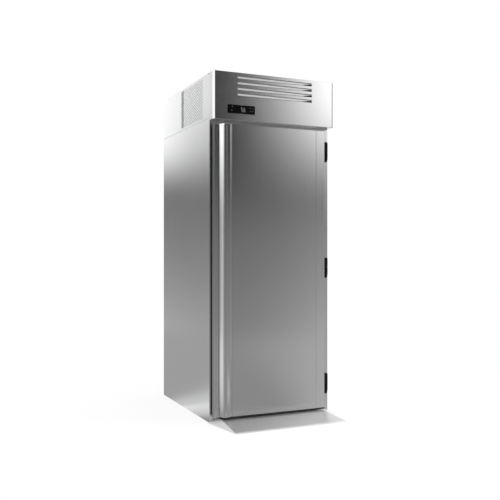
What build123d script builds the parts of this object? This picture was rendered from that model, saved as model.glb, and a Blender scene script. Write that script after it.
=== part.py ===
from build123d import *
from math import atan, cos, degrees, radians, sin
import os

os.makedirs("parts", exist_ok=True)

# Roll-in refrigerator for one trolley, in millimetres.
# X runs to the right seen from the front, Y towards the back and Z up.
# The origin is the centre of the insulated body's footprint, on the floor.

# Cabinet body
cabinet_width = 894.0
cabinet_depth = 1015.0
body_height = 2013.0  # floor to the seam under the machine compartment
sheet = 1.0  # stainless sheet of skins, liner and frame
bend_radius = 1.5  # outer corners of folded sheet
wall = 70.0  # side and back walls, from skin to liner
roof_wall = 68.0
floor_height = 26.0
floor_sheet = 1.5
cove_radius = 14.0  # rounded rear corners of the liner
front_return = 12.0  # side skin folded over the front
rear_return = 20.0  # side skin folded over the back

# Front frame round the door opening
post_depth = 30.0
hinge_jamb = 25.0  # the hinge post reaches this far past the liner
head_drop = 5.0  # the head hangs this far below the liner's ceiling

# Machine compartment on top of the body
machine_height = 299.0
machine_return = 15.0
vent_start = 131.0  # perforated zone of the side panels, behind the front
vent_columns = 5
vent_margin = 15.0  # over the seam and under the top
vent_pitch = (88.0, 40.0)
vent_hole = (29.0, 14.0)

# Door
door_margin_left = 14.0  # in from the cabinet's left side
door_margin_right = 61.0
door_floor_gap = 43.0
door_top_gap = 43.0  # below the seam
door_stand_off = 12.0  # from the cabinet's front to the door's back
door_thickness = 57.0
field_raise = 3.0
field_border = 70.0  # flat border on the hinge side
field_slope = 4.0
liner_press = 8.0  # the door's inner sheet is pressed out by this
liner_border = 26.0  # from the opening to the pressed field
gasket_width = 20.0
gasket_lap = 4.0  # from the opening's edge to the gasket
touch_gap = 0.3  # left between a moving piece and what it rests against

# Handle section along the door's free side, widths from left to right
strip_width = 34.0
strip_setback = 20.0  # behind the door's face
grip_width = 15.0
grip_depth = 38.0
grip_wall_run = 13.0
ridge_width = 16.0
ridge_height = 13.0  # proud of the door's face
ridge_fall = 27.0
groove_width = 14.0
groove_depth = 3.0
groove_slope = 2.0
handle_wall = 1.5
cap_thickness = 2.0

# Sweep under the door
sweep_height = 10.0
sweep_depth = 16.0
sweep_start = 76.0  # from the door's free edge

# Door hinges
hinge_height = 140.0
hinge_radius = 18.0
hinge_offset = 19.0  # pin axis beyond the door's edge
hinge_ahead = 40.0  # pin axis ahead of the cabinet's front
hinge_low = 164.0  # from the door's bottom to the lowest hinge's middle
hinge_high = 143.0  # from the highest hinge's middle to the door's top
hinge_split = 1.0
hinge_base_slope = (18.0, 24.0)  # width and height of the lower half's sloped corner
hinge_leaf_slope = (9.0, -8.0)
pin_radius = 6.0
pin_fit = 0.05
pin_press = 0.02
pin_seat = 35.0
pin_reach = 45.0

# Entry ramp
ramp_length = 340.0
ramp_front_inset = 46.5  # its front corners, in from the cabinet's sides
ramp_top_inset = 69.0
ramp_flare = 13.0  # its rear corners, out from the cabinet's sides
ramp_flat = 15.0
ramp_rise = 28.0
ramp_sheet = 2.0
ramp_hem = 12.0
ramp_ribs = 5
rib_thickness = 3.0

# Fascia
fascia_overhang = 3.0  # beyond each side of the cabinet
fascia_depth = 78.0
fascia_drop = 17.0  # below the seam
fascia_corner = 12.0
fascia_sheet = 1.2
fascia_gap = 2.0  # from the cabinet's front to the fascia's side returns
fascia_top_gap = 20.0  # from the cabinet's front to the fascia's top
slot_count = 4
slot_width = 555.0
slot_height = 20.5
slot_pitch = 37.7
slot_top_margin = 31.5  # from the top edge to the first slot's middle
blade_depth = 17.0
blade_drop = 22.0
blade_flange = 8.0
blade_overlap = 6.0

# Controller
controller_width = 197.0
controller_height = 57.0
controller_left = 97.0  # from the cabinet's left side
controller_rise = 55.5  # from the seam to its middle
controller_proud = 2.0
controller_lip = 6.0
controller_fit = 0.4
controller_body_depth = 42.0

# Fascia hinge: a pin on a bracket at each end and an ear inside the fascia
fascia_pin_ahead = 10.0
fascia_pin_drop = 10.0  # below the top edge
fascia_pin_radius = 4.0
ear_radius = 6.5
ear_thickness = 3.0
ear_gap = 1.2
ear_length = 24.0
bracket_height = 28.0

# Chamber fittings
bumper_height = 40.0
bumper_depth = 18.0
bumper_levels = (180.0, 860.0)
bumper_inset = 30.0
bumper_chamfer = 5.0
duct_depth = 35.0
duct_width = 560.0
duct_bottom = 320.0
duct_columns = 2
duct_margin = 120.0  # from the duct's ends to its first and last slots
duct_slot = (150.0, 12.0)
duct_slot_pitch = (240.0, 150.0)
light_length = 420.0
light_width = 26.0
light_height = 14.0

# Evaporator in its insulated box at the back of the machine compartment
evap_side_gap = 66.0  # to the machine compartment's sides
evap_depth = 408.0
evap_headroom = 41.0  # from its lid to the top
evap_wall = 30.0
evap_lid_height = 26.0
evap_rear_gap = 15.0
evap_fan_diameter = 206.0
evap_coil_margin = 40.0  # from the box's inner sides
evap_coil_depth = 56.0
evap_coil_headroom = 42.0
evap_fins = 12
air_slot_length = 170.0
air_slot_count = 3
air_slot_pitch = 190.0
guard_thickness = 2.0
guard_windows = ((0.34, 6, 0.24, 0.14), (0.72, 12, 0.36, 0.16))  # ring, count, length, width

# Condensing unit at the front of the machine compartment
unit_width = 640.0
unit_front = 22.0  # behind the cabinet's front
unit_gap = 15.0  # from its back to the evaporator's box
unit_sheet = 2.0
unit_flange = 18.0
coil_setback = 12.0  # from the unit's front edge
coil_width = 500.0
coil_depth = 66.0
coil_headroom = 57.0  # from the condenser to the top
coil_fins = 18
coil_plate = 2.0
coil_core = 0.3  # share of a coil's depth taken by its tubes
shroud_depth = 34.0
shroud_sheet = 1.5
ring_sides = 32
ring_margin = 11.5  # from the fan's ring to the condenser's top and bottom
fan_hub_radius = 26.0
fan_clearance = 4.0
fan_blades = 5
fan_thickness = 26.0
fan_pitch = 24.0
blade_sheet = 1.6
blade_root = 24.0
blade_tip = 60.0
shaft_radius = 4.0
motor_radius = 40.0
motor_length = 58.0
motor_shoulder = 6.0
can_sides = 16
motor_gap = 4.0  # from the hub to the motor's can
motor_strap = 40.0
strap_sheet = 3.0
compressor_x = -150.0
compressor_setback = 390.5  # from the unit's front edge
compressor_radius = 82.0
compressor_waist = 76.0
compressor_height = 205.0
dome_rise = 46.0
dome_rings = 3
dome_end = 75.0  # degrees of the dome's arc, up to its small flat top
shell_sides = 20
foot_sheet = 3.0
foot_margin = 18.0
mount_height = 22.0
mount_radius = 13.0
mount_sides = 12
mount_spacing = (150.0, 110.0)
terminal_size = (30.0, 60.0, 50.0)
receiver_x = 170.0
receiver_setback = 280.5
receiver_radius = 38.0
liquid_drop = 16.0  # of the liquid pipe under the condenser's top
receiver_shoulder = 12.0
receiver_foot = 14.0
drier_radius = 17.0
drier_length = 110.0
drier_shoulder = 9.0
pipe_radius = 5.0
suction_radius = 8.0
pipe_bend = 16.0
pipe_sides = 8
bend_steps = 3
pipe_clearance = 20.0  # of pipe runs above what they cross
tray_size = (180.0, 70.0, 36.0)
tray_sheet = 1.5
tray_taper = 4.0  # degrees
tray_margin = 4.0
supply_size = (90.0, 130.0, 120.0)
supply_x = 258.0
supply_setback = 465.0
supply_lid = 6.0
gland_inset = 147.0  # in from the cabinet's right side
gland_rise = 47.0
gland_hex = 13.0
gland_sides = 12
gland_stem = 8.0
gland_bore = 4.5
gland_outside = 12.0
gland_inside = 7.0

# Planes and places worked out from the sizes above
half_width = cabinet_width / 2
front = -cabinet_depth / 2
back = cabinet_depth / 2
top = body_height + machine_height
skin_inside = half_width - sheet
frame_face = front + sheet
chamber_half = half_width - wall
chamber_front = frame_face + post_depth
chamber_back = back - wall
chamber_top = body_height - roof_wall
jamb_left = -chamber_half
jamb_right = chamber_half - hinge_jamb
opening_top = chamber_top - head_drop
duct_face = chamber_back - duct_depth
unit_top = body_height + unit_sheet


def ahead(distance):
    """The Y of a plane this far in front of the cabinet's front."""
    return front - distance


def block(x, y, z, mode=Mode.ADD):
    """A rectangular block between two limits along each axis."""
    with Locations((sum(x) / 2, sum(y) / 2, sum(z) / 2)):
        Box(abs(x[1] - x[0]), y[1] - y[0], z[1] - z[0], mode=mode)


def save(part, name):
    """Name a finished piece and write it as its own file."""
    part.label = name
    export_step(part, f"parts/{name}.step")


# Side sheets, folded over the front and the back
def folded_side(side, front_fold, rear_fold, bottom, height):
    """A side sheet with its two folds; side is -1 on the left and 1 on the right."""
    with BuildPart() as panel:
        with BuildSketch(Plane.XY.offset(bottom)):
            with BuildLine():
                Polyline(
                    (side * half_width, front),
                    (side * (half_width - front_fold), front),
                    (side * (half_width - front_fold), frame_face),
                    (side * skin_inside, frame_face),
                    (side * skin_inside, back - sheet),
                    (side * (half_width - rear_fold), back - sheet),
                    (side * (half_width - rear_fold), back),
                    (side * half_width, back),
                    close=True,
                )
            make_face()
        extrude(amount=height)
        outer_corners = panel.edges().filter_by(Axis.Z).sort_by(lambda edge: side * edge.center().X)
        fillet(outer_corners[-2:], radius=bend_radius)
    return panel.part


for side, side_name in ((-1, "left"), (1, "right")):
    save(folded_side(side, front_return, rear_return, 0, body_height), f"side_panel_{side_name}")

with BuildPart() as back_panel:
    back_half = half_width - rear_return
    block((-back_half, back_half), (back - sheet, back), (0, body_height))
save(back_panel.part, "back_panel")

# Air passages through the insulated roof: the fan's opening and the slots over the rear duct
fan_opening = evap_fan_diameter / 2 + fan_clearance
evap_back = back - evap_rear_gap
evap_front = evap_back - evap_depth
evap_fan_y = evap_front + evap_wall + fan_opening + 2 * fan_clearance
air_slot_y = (duct_face + chamber_back) / 2
air_slot_depth = duct_depth - 3 * fan_clearance

with BuildPart() as air_passages:
    with BuildSketch(Plane.XY.offset(chamber_top)):
        with Locations((0, evap_fan_y)):
            Circle(fan_opening)
        with Locations((0, air_slot_y)):
            with GridLocations(air_slot_pitch, 1, air_slot_count, 1):
                Rectangle(air_slot_length, air_slot_depth)
    extrude(amount=roof_wall)

with BuildPart() as roof_sheet:
    block((-skin_inside, skin_inside), (frame_face, back - sheet), (body_height - sheet, body_height))
    flange_half = half_width - front_return
    block((-flange_half, flange_half), (front, frame_face), (body_height - front_return, body_height))
    add(air_passages.part, mode=Mode.SUBTRACT)
save(roof_sheet.part, "roof_sheet")

# Insulation between the skins and the liner
for side, side_name in ((-1, "left"), (1, "right")):
    with BuildPart() as insulation_side:
        slab = (side * (chamber_half + sheet), side * skin_inside)
        block(slab, (chamber_front, back - sheet), (floor_height, chamber_top + sheet))
    save(insulation_side.part, f"insulation_{side_name}")

with BuildPart() as insulation_back:
    block(
        (-chamber_half - sheet, chamber_half + sheet),
        (chamber_back + sheet, back - sheet),
        (floor_height, chamber_top + sheet),
    )
save(insulation_back.part, "insulation_back")

with BuildPart() as insulation_top:
    block(
        (-skin_inside, skin_inside),
        (chamber_front, back - sheet),
        (chamber_top + sheet, body_height - sheet),
    )
    add(air_passages.part, mode=Mode.SUBTRACT)
save(insulation_top.part, "insulation_top")

# Inner liner with coved rear corners, open to the door and standing on the floor
with BuildPart() as inner_liner:
    block(
        (-chamber_half, chamber_half),
        (chamber_front, chamber_back),
        (floor_height, chamber_top),
    )
    rear_corners = inner_liner.edges().filter_by(Axis.Z).group_by(Axis.Y)[-1]
    fillet(rear_corners, radius=cove_radius)
    open_faces = inner_liner.faces().sort_by(Axis.Y)[:1] + inner_liner.faces().sort_by(Axis.Z)[:1]
    offset(amount=sheet, openings=open_faces, kind=Kind.INTERSECTION, mode=Mode.REPLACE)
    add(air_passages.part, mode=Mode.SUBTRACT)
save(inner_liner.part, "inner_liner")

# Floor: a stainless pan with a turned-down front, over a stiff core
with BuildPart() as floor_pan:
    with BuildSketch(Plane.YZ.offset(-skin_inside)):
        with BuildLine():
            Polyline(
                (frame_face, 0),
                (frame_face, floor_height),
                (back - sheet, floor_height),
                (back - sheet, floor_height - floor_sheet),
                (frame_face + floor_sheet, floor_height - floor_sheet),
                (frame_face + floor_sheet, 0),
                close=True,
            )
        make_face()
    extrude(amount=2 * skin_inside)
save(floor_pan.part, "floor_pan")

with BuildPart() as floor_core:
    block(
        (-skin_inside, skin_inside),
        (frame_face + floor_sheet, back - sheet),
        (0, floor_height - floor_sheet),
    )
save(floor_core.part, "floor_core")

# Front frame: hollow posts and a hollow head between them
frame_top = body_height - sheet
for side_name, post_x in (("left", (-skin_inside, jamb_left)), ("right", (jamb_right, skin_inside))):
    with BuildPart() as frame_post:
        block(post_x, (frame_face, chamber_front), (floor_height, frame_top))
        post_ends = frame_post.faces().filter_by(Axis.Z)
        offset(amount=-sheet, openings=post_ends)
    save(frame_post.part, f"frame_post_{side_name}")

with BuildPart() as frame_head:
    block((jamb_left, jamb_right), (frame_face, chamber_front), (opening_top, frame_top))
    head_ends = frame_head.faces().filter_by(Axis.X)
    offset(amount=-sheet, openings=head_ends)
save(frame_head.part, "frame_head")

# Entry ramp: a hipped sheet on ribs, standing against the cabinet's front
ramp_back = ahead(touch_gap)
ramp_nose = ahead(ramp_length)
ramp_crest = ahead(ramp_flat)
base_half = half_width + ramp_flare
nose_half = half_width - ramp_front_inset
crest_half = half_width - ramp_top_inset


def hipped_block(inset, skin, back_y, bottom, height):
    """A wedge across the cabinet's front, cut by a sloped plane on each side: the ramp's form, with its lower
    edges drawn in by inset and its crest by skin."""
    with BuildPart() as wedge:
        with BuildSketch(Plane.YZ.offset(-base_half)):
            Polygon(
                (back_y, bottom),
                (back_y, height),
                (ramp_crest, height),
                (ramp_nose + inset, bottom),
                align=None,
            )
        extrude(amount=2 * base_half)
        for side in (-1, 1):
            rear = Vector(side * (base_half - inset), ramp_back, bottom)
            nose = Vector(side * (nose_half - inset), ramp_nose, bottom)
            crest = Vector(side * (crest_half - skin), ramp_crest, height)
            outward = side * (crest - rear).cross(nose - rear)
            split(bisect_by=Plane(origin=rear, z_dir=outward), keep=Keep.BOTTOM)
    return wedge.part


with BuildPart() as entry_ramp:
    with BuildSketch():
        Polygon(
            (-base_half, ramp_back),
            (-nose_half, ramp_nose),
            (nose_half, ramp_nose),
            (base_half, ramp_back),
            align=None,
        )
    extrude(amount=ramp_sheet)
    add(hipped_block(0, 0, ramp_back, ramp_sheet, ramp_rise))
    hollow_back = ramp_back - ramp_sheet
    hollow = hipped_block(ramp_hem, ramp_sheet, hollow_back, 0, ramp_rise - ramp_sheet)
    add(hollow, mode=Mode.SUBTRACT)
    rib_top = ramp_rise - ramp_sheet / 2
    rib_back = hollow_back + ramp_sheet / 2
    rib_front = ramp_nose + 3 * ramp_hem
    rib_pitch = 2 * (crest_half - ramp_hem) / (ramp_ribs - 1)
    for rib in range(ramp_ribs):
        rib_x = (rib - (ramp_ribs - 1) / 2) * rib_pitch
        with BuildSketch(Plane.YZ.offset(rib_x - rib_thickness / 2)):
            Polygon(
                (rib_back, 0),
                (rib_back, rib_top),
                (ramp_crest, rib_top),
                (rib_front, 2 * ramp_sheet),
                (rib_front, 0),
                align=None,
            )
        extrude(amount=rib_thickness)
save(entry_ramp.part, "entry_ramp")

# Door planes
door_left = -half_width + door_margin_left
door_right = half_width - door_margin_right
door_bottom = door_floor_gap
door_top = body_height - door_top_gap
door_height = door_top - door_bottom
door_back = ahead(door_stand_off)
door_depth = door_stand_off + door_thickness
border_depth = door_depth - field_raise
grip_left = door_left + strip_width
grip_right = grip_left + grip_width
ridge_left = grip_right + grip_wall_run
ridge_right = ridge_left + ridge_width
groove_left = ridge_right + ridge_fall
handle_right = groove_left + groove_width
fold = door_right - field_border
fold_miter = (1 - cos(radians(45))) / sin(radians(45))


def door_outline(inset):
    """Plan of the door right of its handle, drawn in from the outer skin by inset."""
    shift = fold_miter * inset
    return (
        (handle_right + inset, door_back),
        (handle_right + inset, ahead(door_depth - inset)),
        (fold - shift, ahead(door_depth - inset)),
        (fold + field_slope - shift, ahead(border_depth - inset)),
        (door_right - inset, ahead(border_depth - inset)),
        (door_right - inset, door_back),
    )


with BuildPart() as door_skin:
    with BuildSketch(Plane.XY.offset(door_bottom)):
        Polygon(*door_outline(0), align=None)
    extrude(amount=door_height)
    hinge_side_edges = door_skin.edges().filter_by(Axis.Z).group_by(Axis.X)[-1]
    fillet(hinge_side_edges.sort_by(Axis.Y)[0], radius=bend_radius)
    with BuildSketch(Plane.XY.offset(door_bottom + sheet)):
        Polygon(*door_outline(sheet), align=None)
    extrude(amount=door_height - 2 * sheet, mode=Mode.SUBTRACT)
save(door_skin.part, "door_skin")

# Inner door sheet, with its field pressed out towards the chamber, and the foam behind it
foam_back = door_back - sheet
field_left = handle_right + liner_border / 2
field_right = jamb_right - liner_border
field_bottom = door_bottom + liner_border
field_top = opening_top - liner_border


def pressed_field(inset, depth, mode=Mode.ADD):
    """The pressed field's block, drawn in by inset, from the foam's back to depth past the door's."""
    block(
        (field_left + inset, field_right - inset),
        (foam_back, door_back + depth),
        (field_bottom + inset, field_top - inset),
        mode=mode,
    )


with BuildPart() as door_liner:
    block(
        (handle_right + sheet, door_right - sheet),
        (foam_back, door_back),
        (door_bottom + sheet, door_top - sheet),
    )
    pressed_field(0, liner_press)
    fillet(door_liner.faces().sort_by(Axis.Y)[-1].edges(), radius=2 * sheet)
    pressed_field(sheet, liner_press - sheet, mode=Mode.SUBTRACT)
save(door_liner.part, "door_liner")

with BuildPart() as door_foam:
    with BuildSketch(Plane.XY.offset(door_bottom + sheet)):
        Polygon(*door_outline(sheet), align=None)
    extrude(amount=door_height - 2 * sheet)
    block(
        (handle_right, door_right),
        (foam_back, door_back),
        (door_bottom, door_top),
        mode=Mode.SUBTRACT,
    )
    pressed_field(sheet, liner_press - sheet)
save(door_foam.part, "door_foam")

# Handle section: a hollow profile with a finger channel, the door's full height, with end caps
strip_y = ahead(door_depth - strip_setback)
grip_y = ahead(door_depth - grip_depth)
ridge_y = ahead(door_depth + ridge_height)
groove_y = ahead(door_depth - groove_depth)

with BuildSketch() as handle_section:
    with BuildLine():
        Polyline(
            (grip_right, grip_y),
            (grip_left, grip_y),
            (grip_left, strip_y),
            (door_left, strip_y),
            (door_left, door_back),
            (handle_right, door_back),
            (handle_right, ahead(door_depth)),
            (handle_right - groove_slope, groove_y),
            (groove_left + groove_slope, groove_y),
            (groove_left, ahead(door_depth)),
            (ridge_right, ridge_y),
            (ridge_left, ridge_y),
        )
        RadiusArc((ridge_left, ridge_y), (grip_right, grip_y), -3 * grip_depth)
    make_face()
    fillet(handle_section.vertices().group_by(Axis.Y)[0], radius=2 * handle_wall)

with BuildPart() as door_handle:
    with BuildSketch(Plane.XY.offset(door_bottom + cap_thickness)):
        add(handle_section.sketch)
        offset(amount=-handle_wall, mode=Mode.SUBTRACT)
    extrude(amount=door_height - 2 * cap_thickness)
save(door_handle.part, "door_handle")

with BuildPart() as handle_end_caps:
    for cap_bottom in (door_bottom, door_top - cap_thickness):
        with BuildSketch(Plane.XY.offset(cap_bottom)):
            add(handle_section.sketch)
        extrude(amount=cap_thickness)
save(handle_end_caps.part, "handle_end_caps")

# Magnetic gasket on three sides of the opening, and the sweep along the fourth
gasket_y = (door_back, frame_face - touch_gap)
gasket_inner = (jamb_left - gasket_lap, jamb_right + gasket_lap)
gasket_inner_top = opening_top + gasket_lap
with BuildPart() as door_gasket:
    block(
        (gasket_inner[0] - gasket_width, gasket_inner[1] + gasket_width),
        gasket_y,
        (door_bottom, gasket_inner_top + gasket_width),
    )
    block(gasket_inner, gasket_y, (door_bottom, gasket_inner_top), mode=Mode.SUBTRACT)
save(door_gasket.part, "door_gasket")

with BuildPart() as door_sweep:
    block(
        (door_left + sweep_start, door_right - sheet),
        (ahead(border_depth), ahead(border_depth - sweep_depth)),
        (door_bottom - sweep_height, door_bottom),
    )
    fillet(door_sweep.edges().filter_by(Axis.X).group_by(Axis.Z)[0], radius=sweep_height / 5)
save(door_sweep.part, "door_sweep")

# Door hinges: the lower half stands on the post and holds the pin, the upper half carries the door
hinge_x = door_right + hinge_offset
hinge_y = ahead(hinge_ahead)
half_hinge = (hinge_height - hinge_split) / 2
foot_length = frame_face - hinge_y
hinge_bottom = door_bottom + hinge_low
hinge_top = door_top - hinge_high
hinge_levels = {"top": hinge_top, "middle": (hinge_top + hinge_bottom) / 2, "bottom": hinge_bottom}


def hinge_corner(end, slope):
    """The wedge cut off a hinge half's outer corner at one end: its width, and its height up or down."""
    edge = hinge_x + hinge_radius
    with BuildPart() as wedge:
        with BuildSketch(Plane.XZ.offset(-hinge_y)):
            Polygon((edge, end), (edge, end + slope[1]), (edge - slope[0], end), align=None)
        extrude(amount=2 * hinge_radius, both=True)
    return wedge.part


for level_name, level in hinge_levels.items():
    lower_top = level - hinge_split / 2
    upper_bottom = level + hinge_split / 2

    with BuildPart() as hinge_base:
        with BuildSketch(Plane.XY.offset(level - hinge_height / 2)):
            with Locations((hinge_x, hinge_y)):
                Circle(hinge_radius)
            with Locations((hinge_x, hinge_y + foot_length / 2)):
                Rectangle(2 * hinge_radius, foot_length)
        extrude(amount=half_hinge)
        add(hinge_corner(level - hinge_height / 2, hinge_base_slope), mode=Mode.SUBTRACT)
        with Locations((hinge_x, hinge_y, lower_top)):
            Hole(pin_radius + pin_press, depth=pin_seat)
    save(hinge_base.part, f"hinge_base_{level_name}")

    with BuildPart() as hinge_leaf:
        with BuildSketch(Plane.XY.offset(upper_bottom)):
            with Locations((hinge_x, hinge_y)):
                Circle(hinge_radius)
            with Locations((hinge_x - hinge_offset / 2, hinge_y)):
                Rectangle(hinge_offset, 2 * hinge_radius)
        extrude(amount=half_hinge)
        add(hinge_corner(level + hinge_height / 2, hinge_leaf_slope), mode=Mode.SUBTRACT)
        with Locations((hinge_x, hinge_y, upper_bottom + pin_reach + touch_gap)):
            Hole(pin_radius + pin_fit, depth=pin_reach + touch_gap)
    save(hinge_leaf.part, f"hinge_leaf_{level_name}")

with BuildPart() as hinge_pins:
    for level in hinge_levels.values():
        with Locations((hinge_x, hinge_y, level - hinge_split / 2 - pin_seat)):
            Cylinder(pin_radius, pin_seat + pin_reach, align=(Align.CENTER, Align.CENTER, Align.MIN))
save(hinge_pins.part, "hinge_pins")

# Machine compartment: side panels with a staggered pattern of vents, and a plain back
vent_middle_y = front + vent_start + vent_columns * vent_pitch[0] / 2
vent_middle_z = body_height + machine_height / 2
vent_rows = int((machine_height - 2 * vent_margin) // (2 * vent_pitch[1]))  # of each of two staggered sets
for side, side_name in ((-1, "left"), (1, "right")):
    with BuildPart() as machine_side:
        add(folded_side(side, machine_return, machine_return, body_height, machine_height))
        with BuildSketch(Plane.YZ.offset(side * half_width)):
            for shift in (-1, 1):
                set_y = vent_middle_y + shift * vent_pitch[0] / 4
                set_z = vent_middle_z + shift * vent_pitch[1] / 2
                with Locations((set_y, set_z)):
                    with GridLocations(vent_pitch[0], 2 * vent_pitch[1], vent_columns, vent_rows):
                        Rectangle(*vent_hole)
        extrude(amount=2 * sheet, both=True, mode=Mode.SUBTRACT)
    save(machine_side.part, f"machine_side_{side_name}")

gland_x = half_width - gland_inset
gland_z = body_height + gland_rise
with BuildPart() as machine_back:
    machine_back_half = half_width - machine_return
    block((-machine_back_half, machine_back_half), (back - sheet, back), (body_height, top))
    with BuildSketch(Plane.XZ.offset(-back)):
        with Locations((gland_x, gland_z)):
            Circle(gland_stem)
    extrude(amount=sheet, mode=Mode.SUBTRACT)
save(machine_back.part, "machine_back")

# Fascia: one folded sheet with slots, hung on two pins so that it lifts
fascia_half = half_width + fascia_overhang
fascia_face = ahead(fascia_depth)
fascia_inside = fascia_face + fascia_sheet
fascia_bottom = body_height - fascia_drop
slot_levels = [top - slot_top_margin - row * slot_pitch for row in range(slot_count)]
controller_x = -half_width + controller_left + controller_width / 2
controller_z = body_height + controller_rise
cutout_width = controller_width - 2 * controller_lip
cutout_height = controller_height - 2 * controller_lip
pin_y = ahead(fascia_pin_ahead)
pin_z = top - fascia_pin_drop
bracket_outer = skin_inside - ear_gap / 4
bracket_inner = bracket_outer - ear_thickness
ear_outer = bracket_inner - ear_gap
ear_inner = ear_outer - ear_thickness

with BuildPart() as fascia_panel:
    with BuildSketch(Plane.XY.offset(fascia_bottom)):
        Polygon(
            (-fascia_half, ahead(fascia_gap)),
            (-fascia_half, fascia_face + fascia_corner),
            (-fascia_half + fascia_corner, fascia_face),
            (fascia_half - fascia_corner, fascia_face),
            (fascia_half, fascia_face + fascia_corner),
            (fascia_half, ahead(fascia_gap)),
            align=None,
        )
    extrude(amount=top - fascia_bottom)
    offset(amount=-fascia_sheet, openings=fascia_panel.faces().sort_by(Axis.Y)[-1])
    block(
        (-fascia_half, fascia_half),
        (ahead(fascia_top_gap), front),
        (top - fascia_sheet, top),
        mode=Mode.SUBTRACT,
    )
    with BuildSketch(Plane.XZ.offset(-fascia_face)):
        for level in slot_levels:
            with Locations((0, level)):
                Rectangle(slot_width, slot_height)
        with Locations((controller_x, controller_z)):
            Rectangle(cutout_width, cutout_height)
    extrude(amount=2 * fascia_sheet, both=True, mode=Mode.SUBTRACT)
    for ear_start in (-ear_outer, ear_inner):
        with BuildSketch(Plane.YZ.offset(ear_start)):
            Polygon(
                (pin_y, pin_z - ear_radius),
                (pin_y, pin_z + ear_radius),
                (ahead(fascia_top_gap), top - fascia_sheet / 2),
                (ahead(fascia_top_gap + ear_length), top - fascia_sheet / 2),
                align=None,
            )
            with Locations((pin_y, pin_z)):
                Circle(ear_radius)
                Circle(fascia_pin_radius + pin_fit, mode=Mode.SUBTRACT)
        extrude(amount=ear_thickness)
save(fascia_panel.part, "fascia_panel")

with BuildPart() as fascia_brackets:
    for side in (-1, 1):
        with BuildSketch(Plane.YZ.offset(min(side * bracket_outer, side * bracket_inner))):
            with Locations((pin_y, pin_z)):
                Circle(ear_radius)
            with Locations(((pin_y + front) / 2, pin_z)):
                Rectangle(front - pin_y, 2 * ear_radius)
        extrude(amount=ear_thickness)
        block(
            (side * (half_width - machine_return), side * bracket_outer),
            (front - 2 * sheet, front),
            (pin_z - bracket_height / 2 - ear_radius, pin_z + ear_radius),
        )
        block_middle = side * (bracket_inner + ear_inner - sheet) / 2
        with Locations((block_middle, pin_y, pin_z)):
            Cylinder(fascia_pin_radius, bracket_inner - ear_inner + sheet, rotation=(0, 90, 0))
save(fascia_brackets.part, "fascia_hinge_brackets")

with BuildPart() as louvre_blades:
    blade_half = slot_width / 2 + blade_overlap
    for level in slot_levels:
        slot_top = level + slot_height / 2
        with BuildSketch(Plane.YZ.offset(-blade_half)):
            Polygon(
                (fascia_inside, slot_top + blade_flange),
                (fascia_inside + sheet, slot_top + blade_flange),
                (fascia_inside + sheet, slot_top + sheet / 2),
                (fascia_inside + sheet + blade_depth, slot_top - blade_drop + sheet / 2),
                (fascia_inside + blade_depth, slot_top - blade_drop - sheet / 2),
                (fascia_inside, slot_top - sheet / 2),
                align=None,
            )
        extrude(amount=2 * blade_half)
save(louvre_blades.part, "louvre_blades")

with BuildPart() as controller_panel:
    with BuildSketch(Plane.XZ.offset(-fascia_face)):
        with Locations((controller_x, controller_z)):
            RectangleRounded(controller_width, controller_height, controller_lip / 2)
    extrude(amount=controller_proud)
    with BuildSketch(Plane.XZ.offset(-fascia_face)):
        with Locations((controller_x, controller_z)):
            Rectangle(cutout_width - 2 * controller_fit, cutout_height - 2 * controller_fit)
    extrude(amount=-controller_body_depth)
save(controller_panel.part, "controller_panel")

# Chamber fittings: bumpers for the trolley, the rear air duct and the light
with BuildPart() as trolley_bumpers:
    bumper_inside = chamber_half - bumper_depth
    rail_y = (chamber_front + bumper_inset, duct_face - bumper_inset)
    for level in bumper_levels:
        for side in (-1, 1):
            block((side * chamber_half, side * bumper_inside), rail_y, (level, level + bumper_height))
    inner_edges = trolley_bumpers.edges().filter_by(Axis.Y).filter_by(
        lambda edge: abs(edge.center().X) < chamber_half - bumper_depth / 2
    )
    chamfer(inner_edges, length=bumper_chamfer)
    stop_level = bumper_levels[0]
    block(
        (-duct_width / 2, duct_width / 2),
        (duct_face - bumper_depth, chamber_back),
        (stop_level, stop_level + bumper_height),
    )
    stop_edges = trolley_bumpers.edges().filter_by(Axis.X).filter_by(
        lambda edge: edge.length > duct_width - bumper_depth
    )
    chamfer(stop_edges.sort_by(Axis.Y)[:2], length=bumper_chamfer)
save(trolley_bumpers.part, "trolley_bumpers")

with BuildPart() as air_duct:
    duct_top = chamber_top - cove_radius
    duct_rows = int((duct_top - duct_bottom - 2 * duct_margin) // duct_slot_pitch[1]) + 1
    block((-duct_width / 2, duct_width / 2), (duct_face, chamber_back), (duct_bottom, duct_top))
    open_faces = air_duct.faces().sort_by(Axis.Y)[-1:] + air_duct.faces().sort_by(Axis.Z)[-1:]
    offset(amount=-sheet, openings=open_faces)
    with BuildSketch(Plane.XZ.offset(-duct_face)):
        with Locations((0, (duct_bottom + duct_top) / 2)):
            with GridLocations(*duct_slot_pitch, duct_columns, duct_rows):
                Rectangle(*duct_slot)
    extrude(amount=2 * sheet, both=True, mode=Mode.SUBTRACT)
save(air_duct.part, "air_duct")

with BuildPart() as interior_light:
    light_front = chamber_front + cove_radius
    block(
        (-light_length / 2, light_length / 2),
        (light_front, light_front + light_width),
        (chamber_top - light_height, chamber_top),
    )
    fillet(interior_light.edges().filter_by(Axis.X).group_by(Axis.Z)[0], radius=light_height / 3)
save(interior_light.part, "interior_light")

with BuildPart() as ceiling_fan_guard:
    with BuildSketch(Plane.XY.offset(chamber_top - guard_thickness)):
        with Locations((0, evap_fan_y)):
            Rectangle(2 * fan_opening + 4 * fan_clearance, 2 * fan_opening + 4 * fan_clearance)
            for ring, count, length, width in guard_windows:
                with PolarLocations(ring * fan_opening, count):
                    Rectangle(length * fan_opening, width * fan_opening, mode=Mode.SUBTRACT)
    extrude(amount=guard_thickness)
save(ceiling_fan_guard.part, "ceiling_fan_guard")


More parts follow.
